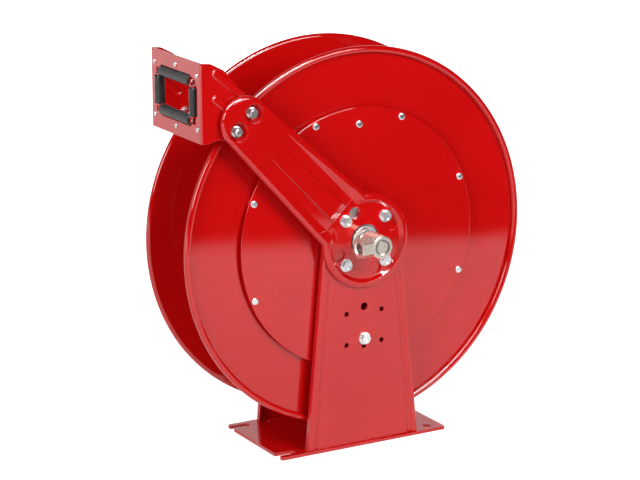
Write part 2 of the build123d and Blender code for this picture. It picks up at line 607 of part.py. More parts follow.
with BuildPart() as bearing_housing:
    with BuildSketch(FAR_FACE.offset(-PEDESTAL_SHEET)):
        Circle(HOUSING_R)
    extrude(amount=-HOUSING_T)
    fillet(bearing_housing.edges().sort_by(Axis.Y)[0], radius=1.5)
    with BuildSketch(FAR_FACE.offset(-PEDESTAL_SHEET)):
        Circle(ARBOR_D / 2)
    extrude(amount=-BEARING_WIDTH - 3.5)
    with BuildSketch(FAR_FACE):
        Circle(SHAFT_D / 2 + 0.8)
    extrude(amount=-PEDESTAL_FACE / 2, mode=Mode.SUBTRACT)
    with BuildSketch(FAR_FACE):
        Circle(BEARING_D / 2)
    extrude(amount=-PEDESTAL_SHEET - BEARING_RECESS - BEARING_WIDTH, mode=Mode.SUBTRACT)
    with BuildSketch(FAR_FACE):
        with Locations(*square):
            Circle(BOLT_D / 2)
    extrude(amount=-PEDESTAL_SHEET - HOUSING_T, mode=Mode.SUBTRACT)
bearing_housing.part.label = "bearing_housing_far"
export_step(bearing_housing.part, "parts/bearing_housing_far.step")

for name, face in (("bearing_near", NEAR_FACE), ("bearing_far", FAR_FACE)):
    with BuildPart() as bearing:
        with BuildSketch(face.offset(-PEDESTAL_SHEET - BEARING_RECESS)):
            Circle(BEARING_D / 2)
            Circle(SHAFT_D / 2 + RUNNING_CLEAR, mode=Mode.SUBTRACT)
        extrude(amount=-BEARING_WIDTH)
    bearing.part.label = name
    export_step(bearing.part, "parts/" + name + ".step")

# ---------------------------------------------------------------- spool
AXLE = Plane(origin=(0, 0, AXLE_Z), x_dir=(1, 0, 0), z_dir=(0, -1, 0))
washer_face = PEDESTAL_FACE + ARM_SHEET - WASHER_SINK
washer_foot = PEDESTAL_FACE - PEDESTAL_SHEET - BEARING_RECESS + FACE_GAP
ring_face = washer_face + WASHER_T
shaft_near_end = ring_face + SNAP_RING_T + 1.8
shaft_far_end = shaft_near_end + 2
riser_y = 22.0
riser_angle = 60.0
with BuildPart() as shaft:
    with BuildSketch(AXLE.offset(-shaft_far_end)):
        Circle(SHAFT_D / 2)
    extrude(amount=shaft_near_end + shaft_far_end)
    chamfer(shaft.edges().filter_by(GeomType.CIRCLE), length=0.8)
    with BuildSketch(AXLE.offset(-riser_y - 8)):
        Circle(SHAFT_BORE_D / 2)
    extrude(amount=shaft_near_end + riser_y + 8, mode=Mode.SUBTRACT)
    with BuildSketch(AXLE.offset(shaft_near_end - 20)):
        Circle(SWIVEL_STEM_D / 2)
    extrude(amount=20, mode=Mode.SUBTRACT)
    with BuildSketch(Plane(origin=(0, riser_y, AXLE_Z), z_dir=Vector(1, 0, 0).rotate(Axis.Y, -riser_angle))):
        Circle(6.5)
    extrude(amount=SHAFT_D, mode=Mode.SUBTRACT)
    for offset in (-ring_face - SNAP_RING_T, ring_face):
        with BuildSketch(AXLE.offset(offset)):
            Circle(SHAFT_D)
            Circle(SHAFT_D / 2 - 1, mode=Mode.SUBTRACT)
        extrude(amount=SNAP_RING_T, mode=Mode.SUBTRACT)
shaft.part.label = "shaft"
export_step(shaft.part, "parts/shaft.step")

for name, face in (("thrust_washer_near", NEAR_FACE), ("thrust_washer_far", FAR_FACE)):
    with BuildPart() as washer:
        with BuildSketch(face.offset(washer_face - PEDESTAL_FACE)):
            Circle(WASHER_D / 2)
        extrude(amount=WASHER_T)
        with BuildSketch(face.offset(washer_foot - PEDESTAL_FACE)):
            Circle(WASHER_COLLAR_D / 2)
        extrude(amount=washer_face - washer_foot)
        with BuildSketch(face.offset(washer_foot - PEDESTAL_FACE)):
            Circle(SHAFT_D / 2)
        extrude(amount=ring_face - washer_foot, mode=Mode.SUBTRACT)
        rim_edges = washer.edges().filter_by(GeomType.CIRCLE).filter_by(
            lambda e: e.radius > WASHER_D / 2 - 0.1)
        fillet(rim_edges, radius=0.4)
    washer.part.label = name
    export_step(washer.part, "parts/" + name + ".step")

with BuildPart() as snap_rings:
    for face in (NEAR_FACE, FAR_FACE):
        with BuildSketch(face.offset(ring_face - PEDESTAL_FACE)):
            Circle(SHAFT_D / 2 + 3)
            Circle(SHAFT_D / 2 - 1, mode=Mode.SUBTRACT)
            with Locations((0, -SHAFT_D / 2 - 1)):
                Rectangle(6, 8, mode=Mode.SUBTRACT)
        extrude(amount=SNAP_RING_T)
snap_rings.part.label = "snap_rings"
export_step(snap_rings.part, "parts/snap_rings.step")

# pressed discs: flat web, turned rim wall and a rolled bead whose lip comes back to the web
disc_outer_face = DISC_INNER_FACE + DISC_SHEET
bead_y = RIM_EDGE - RIM_BEAD_R
PROFILE = Plane(origin=(0, 0, AXLE_Z), x_dir=(1, 0, 0), z_dir=(0, 0, 1))
AXLE_LINE = Axis((0, 0, AXLE_Z), (0, 1, 0))
for name, side, inner_r in (("disc_near", -1, DRUM_R - DRUM_SHEET), ("disc_far", 1, SHAFT_D / 2)):
    web_in, web_out, bead = side * DISC_INNER_FACE, side * disc_outer_face, side * bead_y
    turn_centre = (DISC_R - RIM_TURN_R, web_in + side * RIM_TURN_R)
    bead_centre = (DISC_R - RIM_BEAD_R, bead)
    lip_y = web_out + side * BEAD_GAP
    lip_in = DISC_R - 2 * RIM_BEAD_R
    with BuildPart() as disc:
        with BuildSketch(PROFILE):
            with BuildLine():
                turn = CenterArc(turn_centre, RIM_TURN_R, -side * 90, side * 90)
                roll = CenterArc(bead_centre, RIM_BEAD_R, 0, side * 180)
                Line(turn @ 1, roll @ 0)
                roll_inside = CenterArc(bead_centre, RIM_BEAD_R - DISC_SHEET, 180, -side * 180)
                Polyline(roll @ 1, (lip_in, lip_y), (lip_in + DISC_SHEET, lip_y), roll_inside @ 0)
                turn_inside = CenterArc(turn_centre, RIM_TURN_R - DISC_SHEET, 0, -side * 90)
                Line(roll_inside @ 1, turn_inside @ 0)
                Polyline(turn_inside @ 1, (inner_r, web_out), (inner_r, web_in), turn @ 0)
            make_face()
        revolve(axis=AXLE_LINE)
    disc.part.label = name
    export_step(disc.part, "parts/" + name + ".step")

riser_out = Vector(1, 0, 0).rotate(Axis.Y, -riser_angle)
riser_along = Vector(1, 0, 0).rotate(Axis.Y, -riser_angle - 90)
axle_point = Vector(0, 0, AXLE_Z)
RISER = Plane(origin=axle_point + Vector(0, riser_y, 0), x_dir=(0, 1, 0), z_dir=riser_out)
with BuildPart() as drum:
    with BuildSketch(AXLE.offset(-DISC_INNER_FACE)):
        Circle(DRUM_R)
        Circle(DRUM_R - DRUM_SHEET, mode=Mode.SUBTRACT)
    extrude(amount=2 * DISC_INNER_FACE)
    with BuildSketch(RISER):
        Circle(RISER_D / 2)
    extrude(amount=DRUM_R + 5, mode=Mode.SUBTRACT)
drum.part.label = "drum"
export_step(drum.part, "parts/drum.step")

with BuildPart() as hub_plate:
    with BuildSketch(AXLE.offset(-PARTITION_Y - DISC_SHEET)):
        Circle(DRUM_R - DRUM_SHEET)
    extrude(amount=DISC_SHEET)
    with BuildSketch(AXLE.offset(-PARTITION_Y)):
        Circle(HUB_SLEEVE_D / 2)
    extrude(amount=-HUB_SLEEVE_L)
    with BuildSketch(AXLE.offset(-PARTITION_Y)):
        Circle(SHAFT_D / 2)
    extrude(amount=-HUB_SLEEVE_L, mode=Mode.SUBTRACT)
hub_plate.part.label = "hub_plate"
export_step(hub_plate.part, "parts/hub_plate.step")

with BuildPart() as far_hub:
    with BuildSketch(AXLE.offset(-disc_outer_face)):
        Circle(HUB_FLANGE_R)
    extrude(amount=-HUB_FLANGE_T)
    with BuildSketch(AXLE.offset(-disc_outer_face)):
        Circle(HUB_SLEEVE_D / 2)
    extrude(amount=-FAR_SLEEVE_L)
    with BuildSketch(AXLE.offset(-disc_outer_face)):
        Circle(SHAFT_D / 2)
    extrude(amount=-FAR_SLEEVE_L, mode=Mode.SUBTRACT)
    flange_edges = far_hub.edges().filter_by(GeomType.CIRCLE).filter_by(
        lambda e: e.radius > HUB_FLANGE_R - 0.1)
    chamfer(flange_edges.sort_by(Axis.Y)[-1], length=0.8)
far_hub.part.label = "far_hub"
export_step(far_hub.part, "parts/far_hub.step")

cover_r = DRUM_R + COVER_LIP
cover_screw_r = cover_r - COVER_SCREW_INSET
anchor_r = DRUM_R - ANCHOR_INSET
screw_angles = [22.5 + i * 360 / COVER_SCREW_COUNT for i in range(COVER_SCREW_COUNT)]
with BuildPart() as spring_cover:
    inner_hole_r = ARBOR_D / 2 + 2
    plate_back = -COVER_FACE + COVER_SHEET
    with BuildSketch(PROFILE):
        with BuildLine():
            Polyline(
                (inner_hole_r, -COVER_FACE), (cover_r, -COVER_FACE), (cover_r, plate_back),
                (DRUM_R, plate_back),
                (DRUM_R, -disc_outer_face), (DRUM_R - COVER_SHEET, -disc_outer_face),
                (DRUM_R - COVER_SHEET, plate_back), (inner_hole_r, plate_back), close=True)
        make_face()
    revolve(axis=AXLE_LINE)
    rims = spring_cover.edges().filter_by(GeomType.CIRCLE)
    front_rim = rims.filter_by(lambda e: e.radius > cover_r - 0.1 and e.center().Y < -COVER_FACE + 0.1)
    fillet(front_rim, radius=COVER_EDGE_R)
    with BuildSketch(AXLE.offset(COVER_FACE - COVER_SHEET)):
        with PolarLocations(cover_screw_r, COVER_SCREW_COUNT, start_angle=screw_angles[0]):
            Circle(COVER_SCREW_D / 2 + 0.2)
        with Locations((0, anchor_r)):
            Circle(ANCHOR_STUD_D / 2)
    extrude(amount=COVER_SHEET, mode=Mode.SUBTRACT)
spring_cover.part.label = "spring_cover"
export_step(spring_cover.part, "parts/spring_cover.step")

with BuildPart() as cover_standoffs:
    with BuildSketch(AXLE.offset(disc_outer_face)):
        with PolarLocations(cover_screw_r, COVER_SCREW_COUNT, start_angle=screw_angles[0]):
            Circle(STANDOFF_D / 2)
            Circle(COVER_SCREW_D / 2, mode=Mode.SUBTRACT)
    extrude(amount=COVER_FACE - COVER_SHEET - disc_outer_face)
cover_standoffs.part.label = "cover_standoffs"
export_step(cover_standoffs.part, "parts/cover_standoffs.step")

with BuildPart() as cover_screws:
    with BuildSketch(AXLE.offset(COVER_FACE)):
        with PolarLocations(cover_screw_r, COVER_SCREW_COUNT, start_angle=screw_angles[0]):
            Circle(COVER_SCREW_HEAD_D / 2)
    extrude(amount=3.2)
    fillet(cover_screws.edges().group_by(Axis.Y)[0], radius=2.4)
    with BuildSketch(AXLE.offset(COVER_FACE)):
        with PolarLocations(cover_screw_r, COVER_SCREW_COUNT, start_angle=screw_angles[0]):
            Circle(COVER_SCREW_D / 2)
    extrude(amount=-14)
cover_screws.part.label = "cover_screws"
export_step(cover_screws.part, "parts/cover_screws.step")

with BuildPart() as spring_anchor:
    with BuildSketch(AXLE.offset(COVER_FACE)):
        with Locations((0, anchor_r)):
            Circle(COVER_SCREW_HEAD_D / 2)
    extrude(amount=3.2)
    fillet(spring_anchor.edges().group_by(Axis.Y)[0], radius=2.4)
    with BuildSketch(AXLE.offset(COVER_FACE)):
        with Locations((0, anchor_r)):
            Circle(ANCHOR_STUD_D / 2)
    extrude(amount=-(COVER_FACE + ARBOR_END) - 0.5)
spring_anchor.part.label = "spring_anchor"
export_step(spring_anchor.part, "parts/spring_anchor.step")

# flat spiral mainspring: hooked in the fixed arbor, looped round the anchor on the spool
spring_start = ARBOR_D / 2 + 0.6 + SPRING_STRIP / 2
spring_loop_r = (ANCHOR_STUD_D + SPRING_STRIP) / 2
spring_end = anchor_r - spring_loop_r
half_turns = 2 * SPRING_TURNS
spring_step = (spring_end - spring_start) / half_turns
with BuildPart() as mainspring:
    with BuildSketch(AXLE.offset(-ARBOR_END)) as strip:
        for i in range(half_turns):
            z_from = (1 if i % 2 == 0 else -1) * (spring_start + i * spring_step)
            z_to = (-1 if i % 2 == 0 else 1) * (spring_start + (i + 1) * spring_step)
            middle, turn_r = (z_from + z_to) / 2, abs(z_to - z_from) / 2
            with BuildSketch(mode=Mode.PRIVATE) as half:
                with Locations((0, middle)):
                    Circle(turn_r + SPRING_STRIP / 2)
                    Circle(turn_r - SPRING_STRIP / 2, mode=Mode.SUBTRACT)
                    with Locations(((turn_r + 5) if i % 2 == 0 else -(turn_r + 5), 0)):
                        Rectangle(2 * (turn_r + 5), 4 * turn_r, mode=Mode.SUBTRACT)
            add(half.sketch)
        with Locations((0, anchor_r)):
            Circle(spring_loop_r + SPRING_STRIP / 2)
            Circle(spring_loop_r - SPRING_STRIP / 2, mode=Mode.SUBTRACT)
        with Locations((0, spring_start - 2.2)):
            Rectangle(SPRING_STRIP, 4.4 + SPRING_STRIP)
    extrude(amount=SPRING_WIDTH)
mainspring.part.label = "mainspring"
export_step(mainspring.part, "parts/mainspring.step")

# water way: riser from the hollow shaft, elbow outside the drum for the hose
with BuildPart() as riser:
    with BuildSketch(RISER):
        Circle(RISER_D / 2)
        Circle(RISER_BORE_D / 2, mode=Mode.SUBTRACT)
    extrude(amount=DRUM_R + 1)
    with BuildSketch(AXLE.offset(-DISC_INNER_FACE)):
        Circle(SHAFT_D / 2)
    extrude(amount=2 * DISC_INNER_FACE, mode=Mode.SUBTRACT)
riser.part.label = "riser"
export_step(riser.part, "parts/riser.step")

elbow_r = DRUM_R + ELBOW_CENTRE
elbow_point = axle_point + Vector(0, riser_y, 0) + riser_out * elbow_r
ELBOW_RUN = Plane(origin=elbow_point, x_dir=(0, 1, 0), z_dir=riser_along)
with BuildPart() as outlet_elbow:
    with BuildSketch(RISER.offset(DRUM_R + 1)):
        Circle(ELBOW_BODY_D / 2)
    extrude(amount=ELBOW_BODY_L)
    cap_edges = outlet_elbow.edges().filter_by(GeomType.CIRCLE).filter_by(
        lambda e: (e.center() - elbow_point).dot(riser_out) > 0)
    fillet(cap_edges, radius=5)
    with BuildSketch(ELBOW_RUN):
        Circle(ELBOW_COLLAR_D / 2)
    extrude(amount=ELBOW_COLLAR_L)
    with BuildSketch(ELBOW_RUN):
        Circle(ELBOW_THREAD_D / 2)
    extrude(amount=ELBOW_RUN_L)
    with BuildSketch(ELBOW_RUN):
        Circle(RISER_BORE_D / 2 - 0.5)
    extrude(amount=ELBOW_RUN_L, mode=Mode.SUBTRACT)
    with BuildSketch(RISER.offset(DRUM_R)):
        Circle(RISER_BORE_D / 2)
    extrude(amount=24, mode=Mode.SUBTRACT)
outlet_elbow.part.label = "outlet_elbow"
export_step(outlet_elbow.part, "parts/outlet_elbow.step")

# ---------------------------------------------------------------- ratchet and latch
pivot = Vector(0, -PAWL_PIVOT_DROP)
lock_u = Vector(0, 1).rotate(Axis.Z, -PAWL_LOCK_LEAN)
lock_v = Vector(1, 0).rotate(Axis.Z, -PAWL_LOCK_LEAN)
notch = pivot + lock_u * (PAWL_LENGTH + PAWL_PLAY) - lock_v * (PAWL_TIP_W / 2 + PAWL_PLAY)
with BuildPart() as ratchet:
    with BuildSketch(AXLE.offset(COVER_FACE)):
        Circle(RATCHET_R)
        Circle(ARBOR_D / 2 + 3, mode=Mode.SUBTRACT)
        corners = [notch, notch + lock_v * 16, notch + lock_v * 16 - lock_u * 16, notch - lock_u * 16]
        for turn in (0, TOOTH_STEP, -TOOTH_STEP, 180, 180 + TOOTH_STEP, 180 - TOOTH_STEP):
            turned = [c.rotate(Axis.Z, turn) for c in corners]
            Polygon(*[(c.X, c.Y) for c in turned], align=None, mode=Mode.SUBTRACT)
        with Locations((-PAWL_PIVOT_DROP, 0), (PAWL_PIVOT_DROP, 0)):
            Circle(PAWL_LENGTH + 1, mode=Mode.SUBTRACT)
    extrude(amount=RATCHET_T)
ratchet.part.label = "ratchet"
export_step(ratchet.part, "parts/ratchet.step")

pawl_back = COVER_FACE + RATCHET_T / 2 - 0.4
with BuildPart() as latch_pawl:
    rest_u = Vector(0, 1).rotate(Axis.Z, -PAWL_REST_LEAN)
    rest_v = Vector(1, 0).rotate(Axis.Z, -PAWL_REST_LEAN)
    tip = pivot + rest_u * PAWL_LENGTH
    with BuildSketch(AXLE.offset(pawl_back)):
        with Locations((pivot.X, pivot.Y)):
            Circle(11)
        tip_half = rest_v * PAWL_TIP_W / 2
        sides = [pivot - rest_v * 11, tip - tip_half, tip + tip_half, pivot + rest_v * 11]
        Polygon(*[(c.X, c.Y) for c in sides], align=None)
        with Locations((pivot.X, pivot.Y)):
            Circle(PAWL_PIVOT_D / 2 + RUNNING_CLEAR, mode=Mode.SUBTRACT)
    extrude(amount=PAWL_T)
latch_pawl.part.label = "latch_pawl"
export_step(latch_pawl.part, "parts/latch_pawl.step")

with BuildPart() as latch_pivot:
    with BuildSketch(NEAR_FACE):
        with Locations((pivot.X, pivot.Y)):
            Circle(BOLT_FLANGE_D / 2)
    extrude(amount=BOLT_FLANGE_H, taper=12)
    with BuildSketch(NEAR_FACE):
        with Locations((pivot.X, pivot.Y)):
            RegularPolygon(BOLT_HEX / 2, 6, major_radius=False)
    extrude(amount=BOLT_HEAD_H)
    with BuildSketch(NEAR_FACE.offset(BOLT_HEAD_H - 1.4)):
        with Locations((pivot.X, pivot.Y)):
            Circle(BOLT_HEX / 2 - 2)
    extrude(amount=1.5, mode=Mode.SUBTRACT)
    with BuildSketch(NEAR_FACE):
        with Locations((pivot.X, pivot.Y)):
            Circle(PAWL_PIVOT_D / 2)
    extrude(amount=-(PEDESTAL_FACE - COVER_FACE - 1.2))
    with BuildSketch(NEAR_FACE.offset(-PEDESTAL_SHEET)):
        with Locations((pivot.X, pivot.Y)):
            Circle(7.5)
    extrude(amount=-(PEDESTAL_FACE - PEDESTAL_SHEET - pawl_back - PAWL_T) + 0.15)
latch_pivot.part.label = "latch_pivot"
export_step(latch_pivot.part, "parts/latch_pivot.step")

with BuildPart() as pawl_clip:
    with BuildSketch(AXLE.offset(pawl_back - 0.15)):
        with Locations((pivot.X, pivot.Y)):
            Circle(8)
            Circle(PAWL_PIVOT_D / 2, mode=Mode.SUBTRACT)
            with Locations((0, -7)):
                Rectangle(6, 6, mode=Mode.SUBTRACT)
    extrude(amount=-1)
pawl_clip.part.label = "pawl_clip"
export_step(pawl_clip.part, "parts/pawl_clip.step")

with BuildPart() as latch_spring:
    wire_r = 0.7
    coil_r = 7.5 + 0.3 + wire_r
    coil_from = PEDESTAL_FACE - PEDESTAL_SHEET - wire_r
    coil_to = pawl_back + PAWL_T + 0.3 + wire_r
    with BuildLine():
        coil = Helix(pitch=(coil_from - coil_to) / 2.5, height=coil_from - coil_to, radius=coil_r,
                     center=(pivot.X, -coil_to, AXLE_Z + pivot.Y), direction=(0, -1, 0))
    with BuildSketch(Plane(origin=coil @ 0, z_dir=coil % 0)):
        Circle(wire_r)
    sweep(path=coil)
latch_spring.part.label = "latch_spring"
export_step(latch_spring.part, "parts/latch_spring.step")

# ---------------------------------------------------------------- water swivel
swivel_back = SWIVEL_FACE - SWIVEL_BODY_L
stem_end = SWIVEL_FACE - 0.8
inlet_y = SWIVEL_FACE - INLET_SETBACK
with BuildPart() as swivel_stem:
    with BuildSketch(AXLE.offset(shaft_near_end - 20)):
        Circle(SWIVEL_STEM_D / 2)
    extrude(amount=stem_end - shaft_near_end + 20)
    with BuildSketch(AXLE.offset(shaft_near_end)):
        Circle(SWIVEL_NECK_D / 2)
    extrude(amount=swivel_back - shaft_near_end - FACE_GAP)
    with BuildSketch(AXLE.offset(shaft_near_end)):
        Circle(SWIVEL_COLLAR_D / 2)
    extrude(amount=(SWIVEL_COLLAR_D - SWIVEL_NECK_D) / 2 + 1.5, taper=32)
    with BuildSketch(AXLE.offset(shaft_near_end - 20)):
        Circle(6)
    extrude(amount=stem_end - shaft_near_end + 20 - 6, mode=Mode.SUBTRACT)
    for turn in (0, 90):
        with Locations(Location((0, -inlet_y, AXLE_Z), (0, turn, 0))):
            Cylinder(4, SWIVEL_STEM_D + 2, mode=Mode.SUBTRACT)
    with BuildSketch(AXLE.offset(SWIVEL_FACE - 2.6 - 1.3)):
        Circle(SWIVEL_STEM_D)
        Circle(SWIVEL_STEM_D / 2 - 1, mode=Mode.SUBTRACT)
    extrude(amount=1.3, mode=Mode.SUBTRACT)
swivel_stem.part.label = "swivel_stem"
export_step(swivel_stem.part, "parts/swivel_stem.step")

with BuildPart() as swivel_ring:
    with BuildSketch(AXLE.offset(SWIVEL_FACE - 2.6 - 1.3)):
        Circle(12)
        Circle(SWIVEL_STEM_D / 2 - 1, mode=Mode.SUBTRACT)
        with Locations((0, -SWIVEL_STEM_D / 2 - 1)):
            Rectangle(9, 9, mode=Mode.SUBTRACT)
    extrude(amount=1.3)
swivel_ring.part.label = "swivel_ring"
export_step(swivel_ring.part, "parts/swivel_ring.step")

INLET = Plane(origin=(0, -inlet_y, AXLE_Z), x_dir=(0, -1, 0), z_dir=(-1, 0, 0))
seal_spots = (inlet_y - 9.5, inlet_y + 7.6)
with BuildPart() as swivel_body:
    with BuildSketch(AXLE.offset(swivel_back)):
        Circle(SWIVEL_BODY_D / 2)
    extrude(amount=SWIVEL_BODY_L)
    chamfer(swivel_body.edges().filter_by(GeomType.CIRCLE), length=1.2)
    with BuildSketch(INLET):
        RegularPolygon(INLET_HEX / 2, 6, major_radius=False, rotation=30)
    extrude(amount=-INLET_MOUTH_X)
    with BuildSketch(INLET.offset(-INLET_MOUTH_X)):
        Circle(INLET_BORE_D / 2)
    extrude(amount=-INLET_DEPTH, mode=Mode.SUBTRACT)
    with BuildSketch(INLET):
        Circle(SHAFT_BORE_D / 2 - 1)
    extrude(amount=-INLET_MOUTH_X, mode=Mode.SUBTRACT)
    with BuildSketch(INLET.offset(-INLET_MOUTH_X)):
        Circle(INLET_BORE_D / 2 + INLET_CHAMFER)
    extrude(amount=-INLET_CHAMFER, taper=44, mode=Mode.SUBTRACT)
    with BuildSketch(AXLE.offset(swivel_back)):
        Circle(SWIVEL_STEM_D / 2 + RUNNING_CLEAR)
    extrude(amount=SWIVEL_BODY_L, mode=Mode.SUBTRACT)
    with BuildSketch(AXLE.offset(SWIVEL_FACE - 4.2)):
        Circle(13)
    extrude(amount=4.2, mode=Mode.SUBTRACT)
    with BuildSketch(AXLE.offset(inlet_y - 5.5)):
        Circle(13)
    extrude(amount=11, mode=Mode.SUBTRACT)
    for spot in seal_spots:
        with BuildSketch(AXLE.offset(spot - 1.3)):
            Circle(12.1)
        extrude(amount=2.6, mode=Mode.SUBTRACT)
swivel_body.part.label = "swivel_body"
export_step(swivel_body.part, "parts/swivel_body.step")

with BuildPart() as swivel_seals:
    for spot in seal_spots:
        with BuildSketch(AXLE.offset(spot - 1.3)):
            Circle(12.1)
            Circle(SWIVEL_STEM_D / 2 + RUNNING_CLEAR, mode=Mode.SUBTRACT)
        extrude(amount=2.6)
swivel_seals.part.label = "swivel_seals"
export_step(swivel_seals.part, "parts/swivel_seals.step")
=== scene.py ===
"""Studio scene for the spring-rewind hose reel: finishes, small fittings, lights and camera."""
import json
import logging
import math
from dataclasses import dataclass
from enum import Enum

import bpy
from mathutils import Euler, Matrix, Vector


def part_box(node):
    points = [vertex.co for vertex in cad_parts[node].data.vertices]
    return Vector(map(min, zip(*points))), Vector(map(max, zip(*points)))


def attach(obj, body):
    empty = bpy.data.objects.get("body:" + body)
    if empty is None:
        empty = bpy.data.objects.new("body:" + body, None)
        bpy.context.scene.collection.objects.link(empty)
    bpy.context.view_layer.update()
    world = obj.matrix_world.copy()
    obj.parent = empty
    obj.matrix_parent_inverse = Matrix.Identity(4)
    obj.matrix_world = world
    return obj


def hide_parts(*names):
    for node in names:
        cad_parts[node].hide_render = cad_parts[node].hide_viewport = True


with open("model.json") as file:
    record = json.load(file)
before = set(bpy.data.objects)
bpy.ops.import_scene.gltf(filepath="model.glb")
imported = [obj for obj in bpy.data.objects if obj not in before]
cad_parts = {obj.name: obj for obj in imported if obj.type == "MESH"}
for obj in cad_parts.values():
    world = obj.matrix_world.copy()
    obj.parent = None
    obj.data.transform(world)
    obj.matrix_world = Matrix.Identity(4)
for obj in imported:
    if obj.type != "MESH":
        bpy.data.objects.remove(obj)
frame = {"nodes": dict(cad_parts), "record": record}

log = logging.getLogger("hose_reel")


class Paint(Enum):
    """Names of the record's material slots."""

    RED = "red_paint"
    ZINC = "zinc_plate"
    NICKEL = "nickel_plate"
    ROLLER = "roller_rubber"
    STEEL = "bare_steel"
    SPRING = "spring_steel"
    BRONZE = "bronze"
    SEAL = "seal_rubber"


# ---------------------------------------------------------------- finishes
class NodeSheet:
    """A material's node tree with short helpers for the nodes that every finish uses."""

    def __init__(self, name: str) -> None:
        """Start an empty material.

        Args:
            name: the material's name.
        """
        self.material = bpy.data.materials.new(name)
        self.material.use_nodes = True
        self.tree = self.material.node_tree
        self.tree.nodes.clear()
        self.shader = self.tree.nodes.new("ShaderNodeBsdfPrincipled")
        self.output = self.tree.nodes.new("ShaderNodeOutputMaterial")
        self.tree.links.new(self.shader.outputs["BSDF"], self.output.inputs["Surface"])
        self.place = self.tree.nodes.new("ShaderNodeTexCoord").outputs["Object"]

    def link(self, source: bpy.types.NodeSocket, target: bpy.types.NodeSocket) -> None:
        """Join an output socket to an input socket.

        Args:
            source: the output socket.
            target: the input socket.
        """
        self.tree.links.new(source, target)

    def noise(self, scale: float, detail: float = 3.0, stretch: tuple[float, float, float] | None = None,
              rough: float = 0.5) -> bpy.types.NodeSocket:
        """Add a noise texture on object coordinates.

        Args:
            scale: cells per metre.
            detail: octaves.
            stretch: scale along each axis, for grain that runs one way.
            rough: how strongly the fine octaves show.

        Returns:
            The noise value's socket.
        """
        node = self.tree.nodes.new("ShaderNodeTexNoise")
        node.inputs["Scale"].default_value = scale
        node.inputs["Detail"].default_value = detail
        node.inputs["Roughness"].default_value = rough
        source = self.place
        if stretch:
            mapping = self.tree.nodes.new("ShaderNodeMapping")
            mapping.inputs["Scale"].default_value = stretch
            self.link(self.place, mapping.inputs["Vector"])
            source = mapping.outputs["Vector"]
        self.link(source, node.inputs["Vector"])
        return node.outputs["Fac"]

    def ramp(self, value: bpy.types.NodeSocket, low: tuple, high: tuple,
             start: float = 0.35, end: float = 0.65) -> bpy.types.NodeSocket:
        """Turn a value into a colour between two ends.

        Args:
            value: the socket to read.
            low: the colour at the start.
            high: the colour at the end.
            start: the value that gives low.
            end: the value that gives high.

        Returns:
            The colour socket.
        """
        node = self.tree.nodes.new("ShaderNodeValToRGB")
        node.color_ramp.elements[0].position = start
        node.color_ramp.elements[1].position = end
        node.color_ramp.elements[0].color = (*low, 1.0)
        node.color_ramp.elements[1].color = (*high, 1.0)
        self.link(value, node.inputs["Fac"])
        return node.outputs["Color"]

    def spread(self, value: bpy.types.NodeSocket, low: float, high: float,
               start: float = 0.3, end: float = 0.7) -> bpy.types.NodeSocket:
        """Map a value to a range.

        Args:
            value: the socket to read.
            low: the result at start.
            high: the result at end.
            start: the value that gives low.
            end: the value that gives high.

        Returns:
            The mapped socket.
        """
        node = self.tree.nodes.new("ShaderNodeMapRange")
        node.inputs["From Min"].default_value = start
        node.inputs["From Max"].default_value = end
        node.inputs["To Min"].default_value = low
        node.inputs["To Max"].default_value = high
        self.link(value, node.inputs["Value"])
        return node.outputs["Result"]

    def bump(self, height: bpy.types.NodeSocket, distance: float, strength: float,
             under: bpy.types.NodeSocket | None = None) -> bpy.types.NodeSocket:
        """Add a bump and join it to the shader.

        Args:
            height: the height's socket.
            distance: the relief's depth in metres.
            strength: how much of it shows.
            under: an earlier bump's normal, to build on.

        Returns:
            The bump's normal socket.
        """
        node = self.tree.nodes.new("ShaderNodeBump")
        node.inputs["Distance"].default_value = distance
        node.inputs["Strength"].default_value = strength
        self.link(height, node.inputs["Height"])
        if under is not None:
            self.link(under, node.inputs["Normal"])
        self.link(node.outputs["Normal"], self.shader.inputs["Normal"])
        return node.outputs["Normal"]


@dataclass(frozen=True)
class PowderCoat:
    """Gloss powder coat with a slight orange peel."""

    name: str = "gloss_red_powder_coat"
    colour: tuple[float, float, float] = (0.62, 0.0042, 0.0045)
    shade: tuple[float, float, float] = (0.585, 0.0036, 0.004)
    roughness: float = 0.05
    ior: float = 1.62
    drift_scale: float = 9.0
    haze_scale: float = 28.0
    peel_scale: float = 480.0
    peel_depth: float = 0.00005
    fine_scale_share: float = 3.1
    fine_depth_share: float = 0.3
    edge_round: float = 0.0010
    edge_samples: int = 6

    def make(self) -> bpy.types.Material:
        """Make the finish.

        Returns:
            The finished material.
        """
        sheet = NodeSheet(self.name)
        drift = sheet.noise(self.drift_scale, 2.0)
        sheet.link(sheet.ramp(drift, self.shade, self.colour), sheet.shader.inputs["Base Color"])
        haze = sheet.noise(self.haze_scale, 4.0)
        sheet.link(sheet.spread(haze, self.roughness * 0.85, self.roughness * 1.25),
                   sheet.shader.inputs["Roughness"])
        sheet.shader.inputs["IOR"].default_value = self.ior
        edges = sheet.tree.nodes.new("ShaderNodeBevel")
        edges.samples = self.edge_samples
        edges.inputs["Radius"].default_value = self.edge_round
        peel = sheet.bump(sheet.noise(self.peel_scale, 1.5), self.peel_depth, 0.5, edges.outputs["Normal"])
        fine = sheet.noise(self.peel_scale * self.fine_scale_share, 1.0)
        sheet.bump(fine, self.peel_depth * self.fine_depth_share, 0.4, peel)
        return sheet.material


